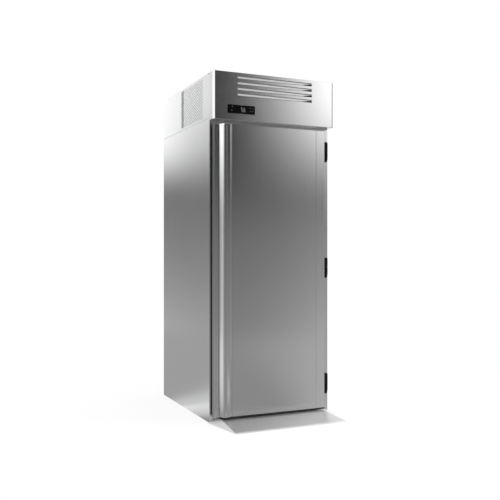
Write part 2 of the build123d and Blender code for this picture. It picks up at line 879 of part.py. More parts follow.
# Coils and fans, shared by the evaporator and the condenser
def finned_coil(middle, width, depth, height, fins):
    """A coil standing on a point: upright fins across a core of tubes, between two end plates."""
    with BuildPart() as coil:
        with BuildSketch(Plane.XY.offset(middle[2])):
            with Locations(middle[:2]):
                Rectangle(width, coil_core * depth)
                with GridLocations((width - coil_plate) / (fins + 1), 1, fins, 1):
                    Rectangle(coil_plate, depth - 2 * coil_plate)
                with GridLocations(width - coil_plate, 1, 2, 1):
                    Rectangle(coil_plate, depth)
        extrude(amount=height)
    return coil.part


def axial_fan(hub_plane, diameter):
    """A fan that turns about its plane's normal: a bored hub with pitched blades."""
    tip = diameter / 2
    tip_corner = (tip**2 - blade_tip**2 / 4) ** 0.5
    root = fan_hub_radius - blade_sheet
    with BuildPart() as rotor:
        with BuildSketch(hub_plane):
            RegularPolygon(fan_hub_radius, can_sides)
        extrude(amount=fan_thickness / 2, both=True)
        for blade in range(fan_blades):
            turn = Rotation(0, 0, blade * 360 / fan_blades) * Rotation(fan_pitch, 0, 0)
            with BuildSketch(Plane(hub_plane.location * turn)):
                Polygon(
                    (root, -blade_root / 2),
                    (tip_corner, -blade_tip / 2),
                    (tip, 0),
                    (tip_corner, blade_tip / 2),
                    (root, blade_root / 2),
                    align=None,
                )
            extrude(amount=blade_sheet / 2, both=True)
        with BuildSketch(hub_plane):
            Circle(shaft_radius + pin_fit)
        extrude(amount=fan_thickness, both=True, mode=Mode.SUBTRACT)
    return rotor.part


def pipe(points, radius):
    """A pipe with flat sides along its route; each bend is an arc walked in short straight steps."""
    corners = [points[0]]
    if len(points) > 2:
        with BuildLine() as bent:
            FilletPolyline(*points, radius=pipe_bend)
        for bend in bent.edges().filter_by(GeomType.CIRCLE):
            corners += [bend @ (step / bend_steps) for step in range(bend_steps + 1)]
    corners.append(points[-1])
    with BuildPart() as run:
        with BuildLine() as route:
            Polyline(*corners)
        with BuildSketch(Plane(origin=route.line @ 0, z_dir=route.line % 0)):
            RegularPolygon(radius, pipe_sides)
        sweep(path=route.line, transition=Transition.RIGHT)
    return run.part


def can(base, radius, length, shoulder):
    """A closed can with many flat sides, from a plane along its normal, both ends drawn in by a shoulder."""
    with BuildPart() as shell:
        with BuildSketch(base):
            RegularPolygon(radius, can_sides)
        extrude(amount=length)
        ends = shell.faces().sort_by(Axis(base.origin, base.z_dir))
        chamfer(ends[0].edges() + ends[-1].edges(), length=shoulder)
    return shell.part


# Evaporator: a bottomless insulated box with its lid, the coil, and the fan in the roof opening
evap_width = 2 * (skin_inside - evap_side_gap)
evap_height = machine_height - evap_headroom - evap_lid_height
evap_top = body_height + evap_height
evap_coil_width = evap_width - 2 * (evap_wall + evap_coil_margin)
evap_coil_height = evap_height - evap_coil_headroom
evap_middle_y = (evap_front + evap_back) / 2
with BuildPart() as evaporator_box:
    with BuildSketch(Plane.XY.offset(body_height)):
        with Locations((0, evap_middle_y)):
            Rectangle(evap_width, evap_depth)
            Rectangle(evap_width - 2 * evap_wall, evap_depth - 2 * evap_wall, mode=Mode.SUBTRACT)
    extrude(amount=evap_height)
save(evaporator_box.part, "evaporator_box")

with BuildPart() as evaporator_lid:
    with BuildSketch(Plane.XY.offset(evap_top)):
        with Locations((0, evap_middle_y)):
            Rectangle(evap_width, evap_depth)
    extrude(amount=evap_lid_height)
    chamfer(evaporator_lid.faces().sort_by(Axis.Z)[-1].edges(), length=bend_radius)
save(evaporator_lid.part, "evaporator_lid")

evap_coil_y = evap_fan_y + fan_opening + fan_clearance + evap_coil_depth / 2
save(
    finned_coil(
        (0, evap_coil_y, body_height), evap_coil_width, evap_coil_depth, evap_coil_height, evap_fins
    ),
    "evaporator_coil",
)

evap_fan_z = body_height - roof_wall / 2
evap_fan_plane = Plane(origin=(0, evap_fan_y, evap_fan_z))
save(axial_fan(evap_fan_plane, evap_fan_diameter), "evaporator_fan")

with BuildPart() as evaporator_fan_motor:
    strap_top = body_height + strap_sheet
    with BuildSketch(Plane.XY.offset(body_height)):
        with Locations((0, evap_fan_y)):
            Rectangle(2 * (fan_opening + 2 * fan_clearance), motor_strap)
    extrude(amount=strap_sheet)
    add(can(Plane(origin=(0, evap_fan_y, strap_top)), motor_radius, motor_length, motor_shoulder))
    with BuildSketch(Plane.XY.offset(evap_fan_z - fan_thickness / 2)):
        with Locations((0, evap_fan_y)):
            Circle(shaft_radius)
    extrude(until=Until.NEXT)
save(evaporator_fan_motor.part, "evaporator_fan_motor")

# Condensing unit: base tray, condenser with its shroud, and the fan with its motor
unit_front_y = front + unit_front
unit_back_y = evap_front - unit_gap
with BuildPart() as unit_base:
    block(
        (-unit_width / 2, unit_width / 2),
        (unit_front_y, unit_back_y),
        (body_height, body_height + unit_flange),
    )
    open_faces = unit_base.faces().sort_by(Axis.Z)[-1:] + unit_base.faces().filter_by(Axis.Y)
    offset(amount=-unit_sheet, openings=open_faces)
save(unit_base.part, "unit_base")

coil_front_y = unit_front_y + coil_setback
coil_back_y = coil_front_y + coil_depth
coil_middle_y = (coil_front_y + coil_back_y) / 2
coil_top = top - coil_headroom
coil_height = coil_top - unit_top
save(
    finned_coil((0, coil_middle_y, unit_top), coil_width, coil_depth, coil_height, coil_fins),
    "condenser_coil",
)

ring_radius = coil_height / 2 - shroud_sheet - ring_margin
fan_diameter = 2 * (ring_radius - fan_clearance)
fan_y = coil_back_y + shroud_depth
fan_z = unit_top + coil_height / 2
shroud_plane = Plane(origin=(0, coil_back_y, fan_z), x_dir=(1, 0, 0), z_dir=(0, 1, 0))
fan_plane = shroud_plane.offset(shroud_depth)
with BuildPart() as condenser_shroud:
    with BuildSketch(shroud_plane):
        Rectangle(coil_width, coil_height)
    extrude(amount=shroud_depth)
    offset(amount=-shroud_sheet, openings=condenser_shroud.faces().sort_by(Axis.Y)[0])
    with BuildSketch(shroud_plane.offset(shroud_depth - fan_thickness / 2)):
        RegularPolygon(ring_radius + shroud_sheet, ring_sides, major_radius=False)
    extrude(amount=fan_thickness / 2)
    with BuildSketch(shroud_plane):
        RegularPolygon(ring_radius, ring_sides, major_radius=False)
    extrude(amount=shroud_depth, mode=Mode.SUBTRACT)
save(condenser_shroud.part, "condenser_shroud")

save(axial_fan(fan_plane, fan_diameter), "condenser_fan")

motor_y = fan_y + fan_thickness / 2 + motor_gap
with BuildPart() as condenser_fan_motor:
    add(can(fan_plane.offset(motor_y - fan_y), motor_radius, motor_length, motor_shoulder))
    strap_y = motor_y + motor_length / 2
    block(
        (-motor_strap / 2, motor_strap / 2),
        (strap_y, strap_y + strap_sheet),
        (unit_top, fan_z - motor_radius / 2),
    )
    block(
        (-motor_strap / 2, motor_strap / 2),
        (strap_y, strap_y + motor_strap),
        (unit_top, unit_top + strap_sheet),
    )
    with BuildSketch(fan_plane.offset(-fan_thickness / 2)):
        Circle(shaft_radius)
    extrude(amount=motor_y - fan_y + fan_thickness / 2)
save(condenser_fan_motor.part, "condenser_fan_motor")

# Compressor: a welded shell of two drawn halves, the upper one domed, on a foot plate and four mounts
compressor_y = unit_front_y + compressor_setback
foot_bottom = unit_top + mount_height
shell_bottom = foot_bottom + foot_sheet
belt = shell_bottom + compressor_height / 2
foot_width = mount_spacing[0] + 2 * foot_margin
foot_depth = mount_spacing[1] + 2 * foot_margin
dome_bottom = shell_bottom + compressor_height - dome_rise
dome_turns = [radians(dome_end * step / dome_rings) for step in range(dome_rings + 1)]
dome = [(compressor_radius * cos(turn), dome_bottom + dome_rise * sin(turn)) for turn in dome_turns]
flat_side = 180 / shell_sides  # turns a flat of the shell towards the pipes

with BuildPart() as compressor:
    with BuildSketch(Plane(origin=(compressor_x, compressor_y, shell_bottom))):
        RegularPolygon(compressor_waist, shell_sides, major_radius=False, rotation=flat_side)
    extrude(amount=belt - shell_bottom)
    chamfer(compressor.faces().sort_by(Axis.Z)[0].edges(), length=foot_margin)
    with BuildSketch(Plane(origin=(compressor_x, compressor_y, belt))):
        RegularPolygon(compressor_radius, shell_sides, major_radius=False, rotation=flat_side)
    extrude(amount=dome_bottom - belt)
    for (radius, level), (next_radius, next_level) in zip(dome, dome[1:]):
        with BuildSketch(Plane(origin=(compressor_x, compressor_y, level))):
            RegularPolygon(radius, shell_sides, major_radius=False, rotation=flat_side)
        slope = degrees(atan((radius - next_radius) / (next_level - level)))
        extrude(amount=next_level - level, taper=slope)
    with BuildSketch(Plane.XY.offset(foot_bottom)):
        with Locations((compressor_x, compressor_y)):
            RectangleRounded(foot_width, foot_depth, foot_margin / 2)
    extrude(amount=foot_sheet)
    terminal_x = compressor_x - compressor_waist
    block(
        (terminal_x - terminal_size[0], terminal_x + terminal_size[0]),
        (compressor_y - terminal_size[1] / 2, compressor_y + terminal_size[1] / 2),
        (belt - terminal_size[2] - sheet, belt - sheet),
    )
save(compressor.part, "compressor")

with BuildPart() as compressor_mounts:
    with BuildSketch(Plane.XY.offset(unit_top)):
        with Locations((compressor_x, compressor_y)):
            with GridLocations(*mount_spacing, 2, 2):
                RegularPolygon(mount_radius, mount_sides)
    extrude(amount=mount_height)
save(compressor_mounts.part, "compressor_mounts")

# Receiver and filter drier
receiver_y = unit_front_y + receiver_setback
receiver_bottom = unit_top + receiver_foot
liquid_z = coil_top - liquid_drop
receiver_top = liquid_z - 2 * pipe_clearance
with BuildPart() as liquid_receiver:
    receiver_base = Plane(origin=(receiver_x, receiver_y, receiver_bottom))
    add(can(receiver_base, receiver_radius, receiver_top - receiver_bottom, receiver_shoulder))
    foot_half = receiver_radius * cos(radians(45))
    block(
        (receiver_x - foot_half, receiver_x + foot_half),
        (receiver_y - foot_half, receiver_y + foot_half),
        (unit_top, unit_top + receiver_foot),
    )
save(liquid_receiver.part, "liquid_receiver")

drier_z = receiver_bottom + receiver_radius
drier_front_y = receiver_y + receiver_radius + pipe_bend
drier_back_y = drier_front_y + drier_length
drier_base = Plane(origin=(receiver_x, drier_front_y, drier_z), z_dir=(0, 1, 0))
save(can(drier_base, drier_radius, drier_length, drier_shoulder), "filter_drier")

# Pipes: compressor to condenser, condenser to receiver and on through the drier, and back again
discharge_x = compressor_x + compressor_radius
discharge_z = dome_bottom - pipe_clearance
discharge_run = coil_top + pipe_clearance
discharge_out_x = discharge_x + 2 * pipe_clearance
save(
    pipe(
        (
            (discharge_x, compressor_y, discharge_z),
            (discharge_out_x, compressor_y, discharge_z),
            (discharge_out_x, compressor_y, discharge_run),
            (discharge_out_x, coil_middle_y, discharge_run),
            (discharge_out_x, coil_middle_y, coil_top),
        ),
        pipe_radius,
    ),
    "discharge_pipe",
)

liquid_x = coil_width / 2
liquid_out_x = liquid_x + 2 * pipe_clearance
with BuildPart() as liquid_pipe:
    add(
        pipe(
            (
                (liquid_x, coil_middle_y, liquid_z),
                (liquid_out_x, coil_middle_y, liquid_z),
                (liquid_out_x, receiver_y, liquid_z),
                (receiver_x, receiver_y, liquid_z),
                (receiver_x, receiver_y, receiver_top),
            ),
            pipe_radius,
        )
    )
    for start_y, end_y in ((receiver_y + receiver_radius, drier_front_y), (drier_back_y, evap_front)):
        add(pipe(((receiver_x, start_y, drier_z), (receiver_x, end_y, drier_z)), pipe_radius))
save(liquid_pipe.part, "liquid_pipe")

suction_x = compressor_x - compressor_radius
suction_z = discharge_z
suction_y = evap_front - 2 * pipe_clearance
save(
    pipe(
        (
            (suction_x, evap_front, suction_z),
            (suction_x, suction_y, suction_z),
            (compressor_x, suction_y, suction_z),
            (compressor_x, compressor_y + compressor_radius, suction_z),
        ),
        suction_radius,
    ),
    "suction_pipe",
)

# Tray that collects the evaporator's water, the supply box and the cable gland
with BuildPart() as evaporation_tray:
    tray_middle = (compressor_x, unit_back_y - tray_margin - tray_size[1] / 2)
    for inset, mode in ((0, Mode.ADD), (tray_sheet, Mode.SUBTRACT)):
        with BuildSketch(Plane.XY.offset(unit_top + inset)):
            with Locations(tray_middle):
                Rectangle(tray_size[0] - 2 * inset, tray_size[1] - 2 * inset)
        extrude(amount=tray_size[2] - inset, taper=-tray_taper, mode=mode)
save(evaporation_tray.part, "evaporation_tray")

with BuildPart() as electrical_box:
    supply_middle = (supply_x, unit_front_y + supply_setback)
    with BuildSketch(Plane.XY.offset(unit_top)):
        with Locations(supply_middle):
            Rectangle(supply_size[0], supply_size[1])
    extrude(amount=supply_size[2] - supply_lid)
    with BuildSketch(Plane.XY.offset(unit_top + supply_size[2] - supply_lid)):
        with Locations(supply_middle):
            Rectangle(supply_size[0] + 2 * sheet, supply_size[1] + 2 * sheet)
    extrude(amount=supply_lid)
save(electrical_box.part, "electrical_box")

with BuildPart() as cable_gland:
    gland_plane = Plane(origin=(gland_x, back, gland_z), x_dir=(1, 0, 0), z_dir=(0, 1, 0))
    with BuildSketch(gland_plane):
        RegularPolygon(gland_hex, 6)
    extrude(amount=gland_outside)
    chamfer(cable_gland.faces().sort_by(Axis.Y)[-1].edges(), length=sheet)
    with BuildSketch(gland_plane.offset(-sheet)):
        RegularPolygon(gland_stem, gland_sides)
    extrude(amount=sheet)
    with BuildSketch(gland_plane.offset(-sheet - gland_inside)):
        RegularPolygon(gland_hex, 6)
    extrude(amount=gland_inside)
    with BuildSketch(gland_plane.offset(-sheet - gland_inside)):
        RegularPolygon(gland_bore, gland_sides)
    extrude(amount=sheet + gland_inside + gland_outside, mode=Mode.SUBTRACT)
save(cable_gland.part, "cable_gland")
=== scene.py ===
import bpy
import numpy as np
from math import cos, pi, radians, sin, tau
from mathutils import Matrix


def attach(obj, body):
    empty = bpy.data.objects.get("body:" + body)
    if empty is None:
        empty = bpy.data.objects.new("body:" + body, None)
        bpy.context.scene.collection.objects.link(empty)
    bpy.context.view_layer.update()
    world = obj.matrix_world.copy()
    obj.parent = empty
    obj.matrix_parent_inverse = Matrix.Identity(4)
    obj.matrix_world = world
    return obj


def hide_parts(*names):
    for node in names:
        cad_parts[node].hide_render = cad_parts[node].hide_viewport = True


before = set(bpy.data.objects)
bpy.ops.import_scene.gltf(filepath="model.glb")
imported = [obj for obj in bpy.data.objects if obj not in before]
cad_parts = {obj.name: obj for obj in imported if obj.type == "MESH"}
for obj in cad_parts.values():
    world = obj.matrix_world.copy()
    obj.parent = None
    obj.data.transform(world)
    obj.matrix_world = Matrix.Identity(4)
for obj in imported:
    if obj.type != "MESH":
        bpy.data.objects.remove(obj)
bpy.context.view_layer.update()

# The camera stands at the front left, level, at a little over a metre, so every upright in the
# picture stays upright. Its distance and turn come from the two vanishing points.
view = bpy.data.cameras.new("camera")
view.lens = 51.6
view.sensor_width = 36.0
view.clip_end = 60.0
camera = bpy.data.objects.new("camera", view)
camera.location = (-2.125, -4.9335, 1.141)
camera.rotation_euler = (radians(90), 0, radians(-24))
bpy.context.scene.collection.objects.link(camera)
bpy.context.scene.camera = camera
bpy.context.scene.view_settings.view_transform = "Standard"


# The studio: a round cloth tent about the object, whose wall is brighter or darker by place, as the
# photographed steel shows it. Only gloss sees it; all other light is plain white from the world.
class Wire:
    """An output socket of a node tree. Arithmetic on it adds Math nodes; node() adds any other kind."""

    def __init__(self, tree, socket=None):
        self.tree, self.socket = tree, socket

    def node(self, kind, settings=None, inputs=None, output=0):
        """Add a node: its settings first, then the values or wires of its inputs."""
        made = self.tree.nodes.new("ShaderNode" + kind)
        for name, value in (settings or {}).items():
            setattr(made, name, value)
        for key, value in (inputs or {}).items():
            if isinstance(value, Wire):
                self.tree.links.new(value.socket, made.inputs[key])
            else:
                made.inputs[key].default_value = value
        return Wire(self.tree, made.outputs[output]) if made.outputs else None

    def math(self, operation, *values):
        return self.node("Math", {"operation": operation}, dict(enumerate((self, *values))))

    def __add__(self, other):
        return self.math("ADD", other)

    def __sub__(self, other):
        return self.math("SUBTRACT", other)

    def __rsub__(self, other):
        return self.math("MULTIPLY_ADD", -1.0, other)

    def __mul__(self, other):
        return self.math("MULTIPLY", other)

    def __truediv__(self, other):
        return self.math("DIVIDE", other)

    def __pow__(self, other):
        return self.math("POWER", other)

    __radd__ = __add__
    __rmul__ = __mul__

    def ramp(self, low, high, kind="SMOOTHSTEP"):
        """A rise from 0 at low to 1 at high, held outside."""
        span = {"Value": self, "From Min": low, "From Max": high}
        return self.node("MapRange", {"interpolation_type": kind}, span)

    def part(self, axis):
        """One component of a vector: 0, 1 or 2."""
        return self.node("SeparateXYZ", None, {0: self}, axis)

    def mix(self, low, high):
        """The colour low where this is 0, and high where it is 1."""
        return self.node("Mix", {"data_type": "RGBA"}, {0: self, 6: low, 7: high}, 2)

    def noise(self, scale, detail=2.0, stretch=(1.0, 1.0, 1.0)):
        """Cloudy values from 0 to 1 over a place, finer along an axis where stretch is larger."""
        drawn = self.node("Mapping", None, {0: self, 3: stretch})
        return self.node("TexNoise", None, {"Vector": drawn, "Scale": scale, "Detail": detail})

    def bump(self, strength, distance):
        """The normals of a surface whose height is this, distance being how far 0 lies from 1."""
        return self.node("Bump", None, {"Strength": strength, "Distance": distance, "Height": self})


def grid(points, around=False, along=False, caps=False):
    """A skin of four-sided faces over a grid of places, points[i, j] being step i of its first parameter and
    step j of its second. around joins the last i to the first and along the last j to the first; caps closes
    the first and the last j with a face each. Gives the places, the four-sided faces and the other faces."""
    rows, columns = points.shape[:2]
    i = np.arange(rows if around else rows - 1)[:, None]
    j = np.arange(columns if along else columns - 1)[None, :]
    next_i, next_j = (i + 1) % rows, (j + 1) % columns
    corners = (i * columns + j, next_i * columns + j, next_i * columns + next_j, i * columns + next_j)
    quads = np.stack(np.broadcast_arrays(*corners), -1).reshape(-1, 4)
    ring = np.arange(rows) * columns
    return points.reshape(-1, 3), quads, [ring[::-1], ring + columns - 1] if caps else []


def make(name, *shells, smooth=False):
    """A piece from one or more skins."""
    starts = np.cumsum([0] + [len(shell[0]) for shell in shells])
    faces = []
    for (_, quads, others), start in zip(shells, starts):
        faces += (quads + start).tolist() + [(other + start).tolist() for other in others]
    mesh = bpy.data.meshes.new(name)
    mesh.from_pydata(np.concatenate([shell[0] for shell in shells]), [], faces)
    mesh.polygons.foreach_set("use_smooth", np.full(len(faces), smooth))
    made = bpy.data.objects.new(name, mesh)
    bpy.context.scene.collection.objects.link(made)
    return made


tent_radius = 5.0
tent_height = 6.0
cloth_low = -0.002  # just under the floor's sheet
cloth_hole = 0.01  # left open in the middle of each cloth


def tent_light(turn, height):
    """The wall's glow by its turn from the front towards the right, in degrees, and its height: dark in front,
    bright from the front right round, with a white window on the left and a brighter rear."""
    # In front of the door: dim, and fading upwards. To its right: the key, which grows with the height.
    front = (height * (-1 / 3.4)).math("EXPONENT") * 0.29 * (1 - height.ramp(1.1, 2.8) * 0.67)
    rise = height.ramp(1.65, 3.35) * 1.8 + (height * -1).math("EXPONENT") * 0.2 + 0.1
    key = turn.ramp(14, 32.5, "LINEAR") ** 2.0 * rise * (1 - turn.ramp(44, 60))
    # Right of the object: two glows for its right side. On the left: the window.
    right = turn.ramp(112, 150) * 0.85 + turn.ramp(68, 86) * (1 - turn.ramp(97, 111)) * 0.36
    low_window = (1 - turn.ramp(-115, -60)) * 0.34 + 0.12
    window = (1 - turn.ramp(-64, -44)) * (height.ramp(1.5, 3.0) + low_window) * 1.3
    # Behind, on the left: a glow near the floor and another high up, and an even one straight behind.
    rearward = (turn * -1).ramp(153, 160, "LINEAR")
    side = (height * (-1 / 2.0)).math("EXPONENT") * 0.43 * (rearward * 0.27 + 1)
    side = side + (1 - rearward) * height.ramp(1.9, 3.4) * 0.76 + rearward * height.ramp(1.85, 2.7) * 1.4
    behind = 1 - turn.ramp(-146, -136)
    far = 1 - turn.ramp(-176, -164)
    side = side + far * (0.85 - side)
    shade = front + key + right + window
    shade = shade + behind * (side - shade)
    return shade + height.ramp(4.0, 5.6) * (turn.ramp(12, 36) * 0.4 + 0.5 - shade)


def floor_light(turn, height):
    """The floor cloth's glow by its turn: grey, lighter towards the right and the left."""
    right = turn.ramp(12, 34) * 0.2 * (1 - turn.ramp(40, 62))
    left = (1 - turn.ramp(-100, -50)) * (turn.ramp(-135, -110) * 0.3 + 0.1)
    near_left = (1 - turn.ramp(-66, -46)) * turn.ramp(-105, -90) * 0.3
    return right + left + near_left + 0.34


turns = np.linspace(0, tau, 97)[:-1, None]
wall_rim = ((tent_radius, cloth_low), (tent_radius, tent_height), (cloth_hole, tent_height))
floor_rim = ((cloth_hole, cloth_low), (tent_radius, cloth_low))
for cloth_name, pattern, rim in (
    ("studio_wall", tent_light, wall_rim),
    ("studio_floor_cloth", floor_light, floor_rim),
):
    reach, rise = np.array(rim).T
    cloth_points = np.stack((reach * np.sin(turns), -reach * np.cos(turns), rise + 0 * turns), -1)
    cloth = make(cloth_name, grid(cloth_points, around=True), smooth=True)
    glow_material = bpy.data.materials.new(cloth_name)
    glow_material.use_nodes = True
    glow_material.node_tree.nodes.clear()
    place = Wire(glow_material.node_tree).node("TexCoord", output=3)
    turn = place.part(0).math("ARCTAN2", place.part(1) * -1) * (180 / pi)
    glow = place.node("Emission", None, {"Strength": pattern(turn, place.part(2))})
    place.node("OutputMaterial", None, {"Surface": glow})
    cloth.data.materials.append(glow_material)
    cloth.visible_camera = False
    cloth.visible_diffuse = False
    cloth.visible_transmission = False
    cloth.visible_shadow = False

world = bpy.data.worlds.new("studio")
bpy.context.scene.world = world
world.use_nodes = True
world.node_tree.nodes["Background"].inputs["Color"].default_value = (1, 1, 1, 1)

# A soft lamp low on the right, as large as a studio's soft box, brings out the ramp. Like the world it
# isn't mirrored in the steel.
soft_lamp = bpy.data.lights.new("soft_lamp", "AREA")
soft_lamp.energy = 14.0
soft_lamp.size = 0.7
lamp = bpy.data.objects.new("soft_lamp", soft_lamp)
lamp.location = (1.3, -1.35, 0.65)
lamp.rotation_euler = (radians(62), 0, radians(48))
lamp.visible_glossy = False
bpy.context.scene.collection.objects.link(lamp)

# The floor: a matt sheet whose white is mostly its own glow, and its grey paint takes the light for the
# rest. So only the contact shadow stays on it.
floor_reach = 14.0
floor_level = -0.0008
floor_ends = (-floor_reach, floor_reach)
floor_points = np.array([[[x, y, floor_level] for y in floor_ends] for x in floor_ends])
studio_floor = make("studio_floor", grid(floor_points))
floor_material = bpy.data.materials.new("floor_white")
floor_material.use_nodes = True
floor_shader = floor_material.node_tree.nodes["Principled BSDF"].inputs
floor_shader["Base Color"].default_value = (0.24, 0.24, 0.24, 1)
floor_shader["Roughness"].default_value = 1.0
floor_shader["Specular IOR Level"].default_value = 0.0
floor_shader["Emission Color"].default_value = (1, 1, 1, 1)
floor_shader["Emission Strength"].default_value = 0.78
studio_floor.data.materials.append(floor_material)
studio_floor.visible_glossy = False
studio_floor.visible_diffuse = False


# Side skins of the insulated body: 1 mm stainless sheet, folded over the front and the back on a brake.
# Their upper edge stops short of the machine compartment's panels, and black sealant fills the seam.
def finish(name, colour, roughness, **sockets):
    """A material from constants; also gives its Object coordinates, and a function that links a wire to one of
    the shader's sockets."""
    material = bpy.data.materials.new(name)
    material.use_nodes = True
    shader = material.node_tree.nodes["Principled BSDF"]
    shader.inputs["Base Color"].default_value = (*colour, 1)
    shader.inputs["Roughness"].default_value = roughness
    for socket, value in sockets.items():
        shader.inputs[socket.replace("_", " ")].default_value = value

    def feed(socket, wire):
        wire.tree.links.new(wire.socket, shader.inputs[socket])

    return material, Wire(material.node_tree).node("TexCoord", output=3), feed


def shade(colour, factor):
    """A colour made lighter or darker."""
    return tuple(min(1.0, channel * factor) for channel in colour) + (1,)


def brushed_steel(name, colour, roughness, stretch, streak=0.035, smudge=0.05, **sockets):
    """Brushed stainless sheet: fine streaks along its grain, and broad faint smudges where it is wiped.
    stretch is how many streaks there are to a metre along X, Y and Z."""
    sockets.setdefault("Metallic", 1.0)
    material, place, feed = finish(name, colour, roughness, **sockets)
    streaks = place.noise(1.0, 3.0, stretch)
    smudges = place.noise(2.3, 4.0)
    scuffs = 1 - place.part(2).ramp(0.02, 0.3)
    tone = (streaks * 2 - 1) * streak + (smudges * 2 - 1) * (smudge * 0.4) + 0.5
    feed("Base Color", tone.mix(shade(colour, 0.6), shade(colour, 1.4)))
    feed("Roughness", (streaks - 0.5) * 0.08 + (smudges - 0.5) * smudge + scuffs * smudges * 0.08 + roughness)
    feed("Normal", streaks.bump(0.05, 0.0002))
    return material


def moulded(name, colour, roughness, grain=0.15, scale=900.0, wear=0.12, **sockets):
    """Moulded plastic or rubber: an even fine grain, and broad patches duller or paler from handling."""
    material, place, feed = finish(name, colour, roughness, **sockets)
    patches = place.noise(6.0, 5.0)
    feed("Base Color", patches.mix(shade(colour, 1 - wear), shade(colour, 1 + wear)))
    feed("Roughness", (patches - 0.5) * 0.25 + roughness)
    feed("Normal", place.noise(scale).bump(grain, 0.0003))
    return material


def fit(piece, material, body, stands_for=None, sharp=None):
    """Give a piece its finish, the body it rides on and the CAD node that it stands for. sharp is the
    angle between faces, in degrees, from which an edge of a smooth piece stays sharp."""
    if sharp:
        piece.data.set_sharp_from_angle(angle=radians(sharp))
    piece.data.materials.append(material)
    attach(piece, body)
    if stands_for:
        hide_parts(stands_for)


def carry(material, *nodes):
    """Give one finish to CAD pieces whose shape is right."""
    for node in nodes:
        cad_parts[node].data.materials.clear()
        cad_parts[node].data.materials.append(material)


def rounded(corners, radii, steps=5):
    """Round the corners of a closed outline. Each becomes an arc tangent to both of its sides. It is the arc's
    middle plus its two end spokes, weighed by sin((1 - s) w) and sin(s w) over sin w, w being their angle."""
    corners = np.array(corners, float)
    onward = np.roll(corners, -1, 0) - corners
    onward /= np.linalg.norm(onward, axis=1)[:, None]
    backward = np.roll(corners, 1, 0) - corners
    backward /= np.linalg.norm(backward, axis=1)[:, None]
    half = np.arccos(np.clip((onward * backward).sum(1), -1, 1))[:, None] / 2
    radii = np.broadcast_to(np.asarray(radii, float), len(corners))[:, None]
    bisector = onward + backward
    middle = corners + bisector / np.linalg.norm(bisector, axis=1)[:, None] * radii / np.sin(half)
    start = corners + backward * radii / np.tan(half) - middle
    end = corners + onward * radii / np.tan(half) - middle
    swept = (pi - 2 * half)[:, :, None]
    step = np.linspace(0, 1, steps + 1)[None, :, None]
    spokes = np.sin((1 - step) * swept) * start[:, None] + np.sin(step * swept) * end[:, None]
    return (middle[:, None] + spokes / np.sin(swept)).reshape(-1, corners.shape[1])


def mitres(line, closed=True):
    """For each point of a line the step along the mitre of its two sides that moves both one unit out. Out is
    to the right of the line's run; an open line's ends have one side only."""
    run = np.roll(line, -1, 0) - line if closed else np.diff(line, axis=0)
    outward = np.stack((run[:, 1], -run[:, 0]), 1) / np.linalg.norm(run, axis=1)[:, None]
    if closed:
        later, earlier = outward, np.roll(outward, 1, 0)
    else:
        later, earlier = np.concatenate((outward, outward[-1:])), np.concatenate((outward[:1], outward))
    return (later + earlier) / (1 + (later * earlier).sum(1))[:, None]


def drawn_in(outline, distance):
    """A counter-clockwise outline moved inwards."""
    return outline - distance * mitres(outline)


def stacked(rows):
    """A grid from one outline to the next, each at its own height."""
    return np.stack([np.column_stack((outline, np.full(len(outline), level))) for outline, level in rows], 1)


def aim(points, axis):
    """Points laid out along Z, passed on to lie along another axis."""
    return np.roll(points, {"Z": 0, "X": 1, "Y": 2}[axis], -1)


def prism(outline, low, high, axis="Z", edge=0.0004):
    """An outline carried straight along an axis and closed at both ends, with a small chamfer round each end.
    Outlines are in (x, y) along Z, (y, z) along X and (z, x) along Y."""
    outline = np.array(outline, float)
    following = np.roll(outline, -1, 0)
    if (outline[:, 0] * following[:, 1] - outline[:, 1] * following[:, 0]).sum() < 0:
        outline = outline[::-1]
    small = drawn_in(outline, edge)
    rows = [(small, low), (outline, low + edge), (outline, high - edge), (small, high)]
    return grid(aim(stacked(rows), axis), around=True, caps=True)


def rectangle(low, high):
    """The four corners between two opposite ones, counter-clockwise."""
    return [(low[0], low[1]), (high[0], low[1]), (high[0], high[1]), (low[0], high[1])]


def block(low, high, radius=0.0004, axis="Z", edge=0.0004):
    """A block between two corners, its four long edges rounded."""
    low, high = np.minimum(low, high), np.maximum(low, high)
    first, second, third = {"Z": (0, 1, 2), "X": (1, 2, 0), "Y": (2, 0, 1)}[axis]
    corners = rectangle(low[[first, second]], high[[first, second]])
    return prism(rounded(corners, radius, 3), low[third], high[third], axis, edge)


half_width = 0.447
front, back = -0.5075, 0.5075
seam = 2.013
top = 2.312
sheet = 0.001
bend = 0.0006
front_return, rear_return = 0.012, 0.02
sides = ((-1, "left"), (1, "right"))
seam_gap = 0.0012  # from the skins' upper edge to the seam
side_steel = brushed_steel("side_steel", (0.715, 0.722, 0.74), 0.2, (260, 260, 2.0))
seam_rubber = moulded("seam_rubber", (0.45, 0.45, 0.46), 0.6)


def folded_outline(side, front_fold, rear_fold):
    """Plan of a side sheet with its two folds; side is -1 on the left and 1 on the right."""
    inner = half_width - sheet
    corners = (
        (side * half_width, front),
        (side * (half_width - front_fold), front),
        (side * (half_width - front_fold), front + sheet),
        (side * inner, front + sheet),
        (side * inner, back - sheet),
        (side * (half_width - rear_fold), back - sheet),
        (side * (half_width - rear_fold), back),
        (side * half_width, back),
    )
    return rounded(corners, (bend, 0.0002, 0.0002, 0.0002, 0.0002, 0.0002, 0.0002, bend), 4)


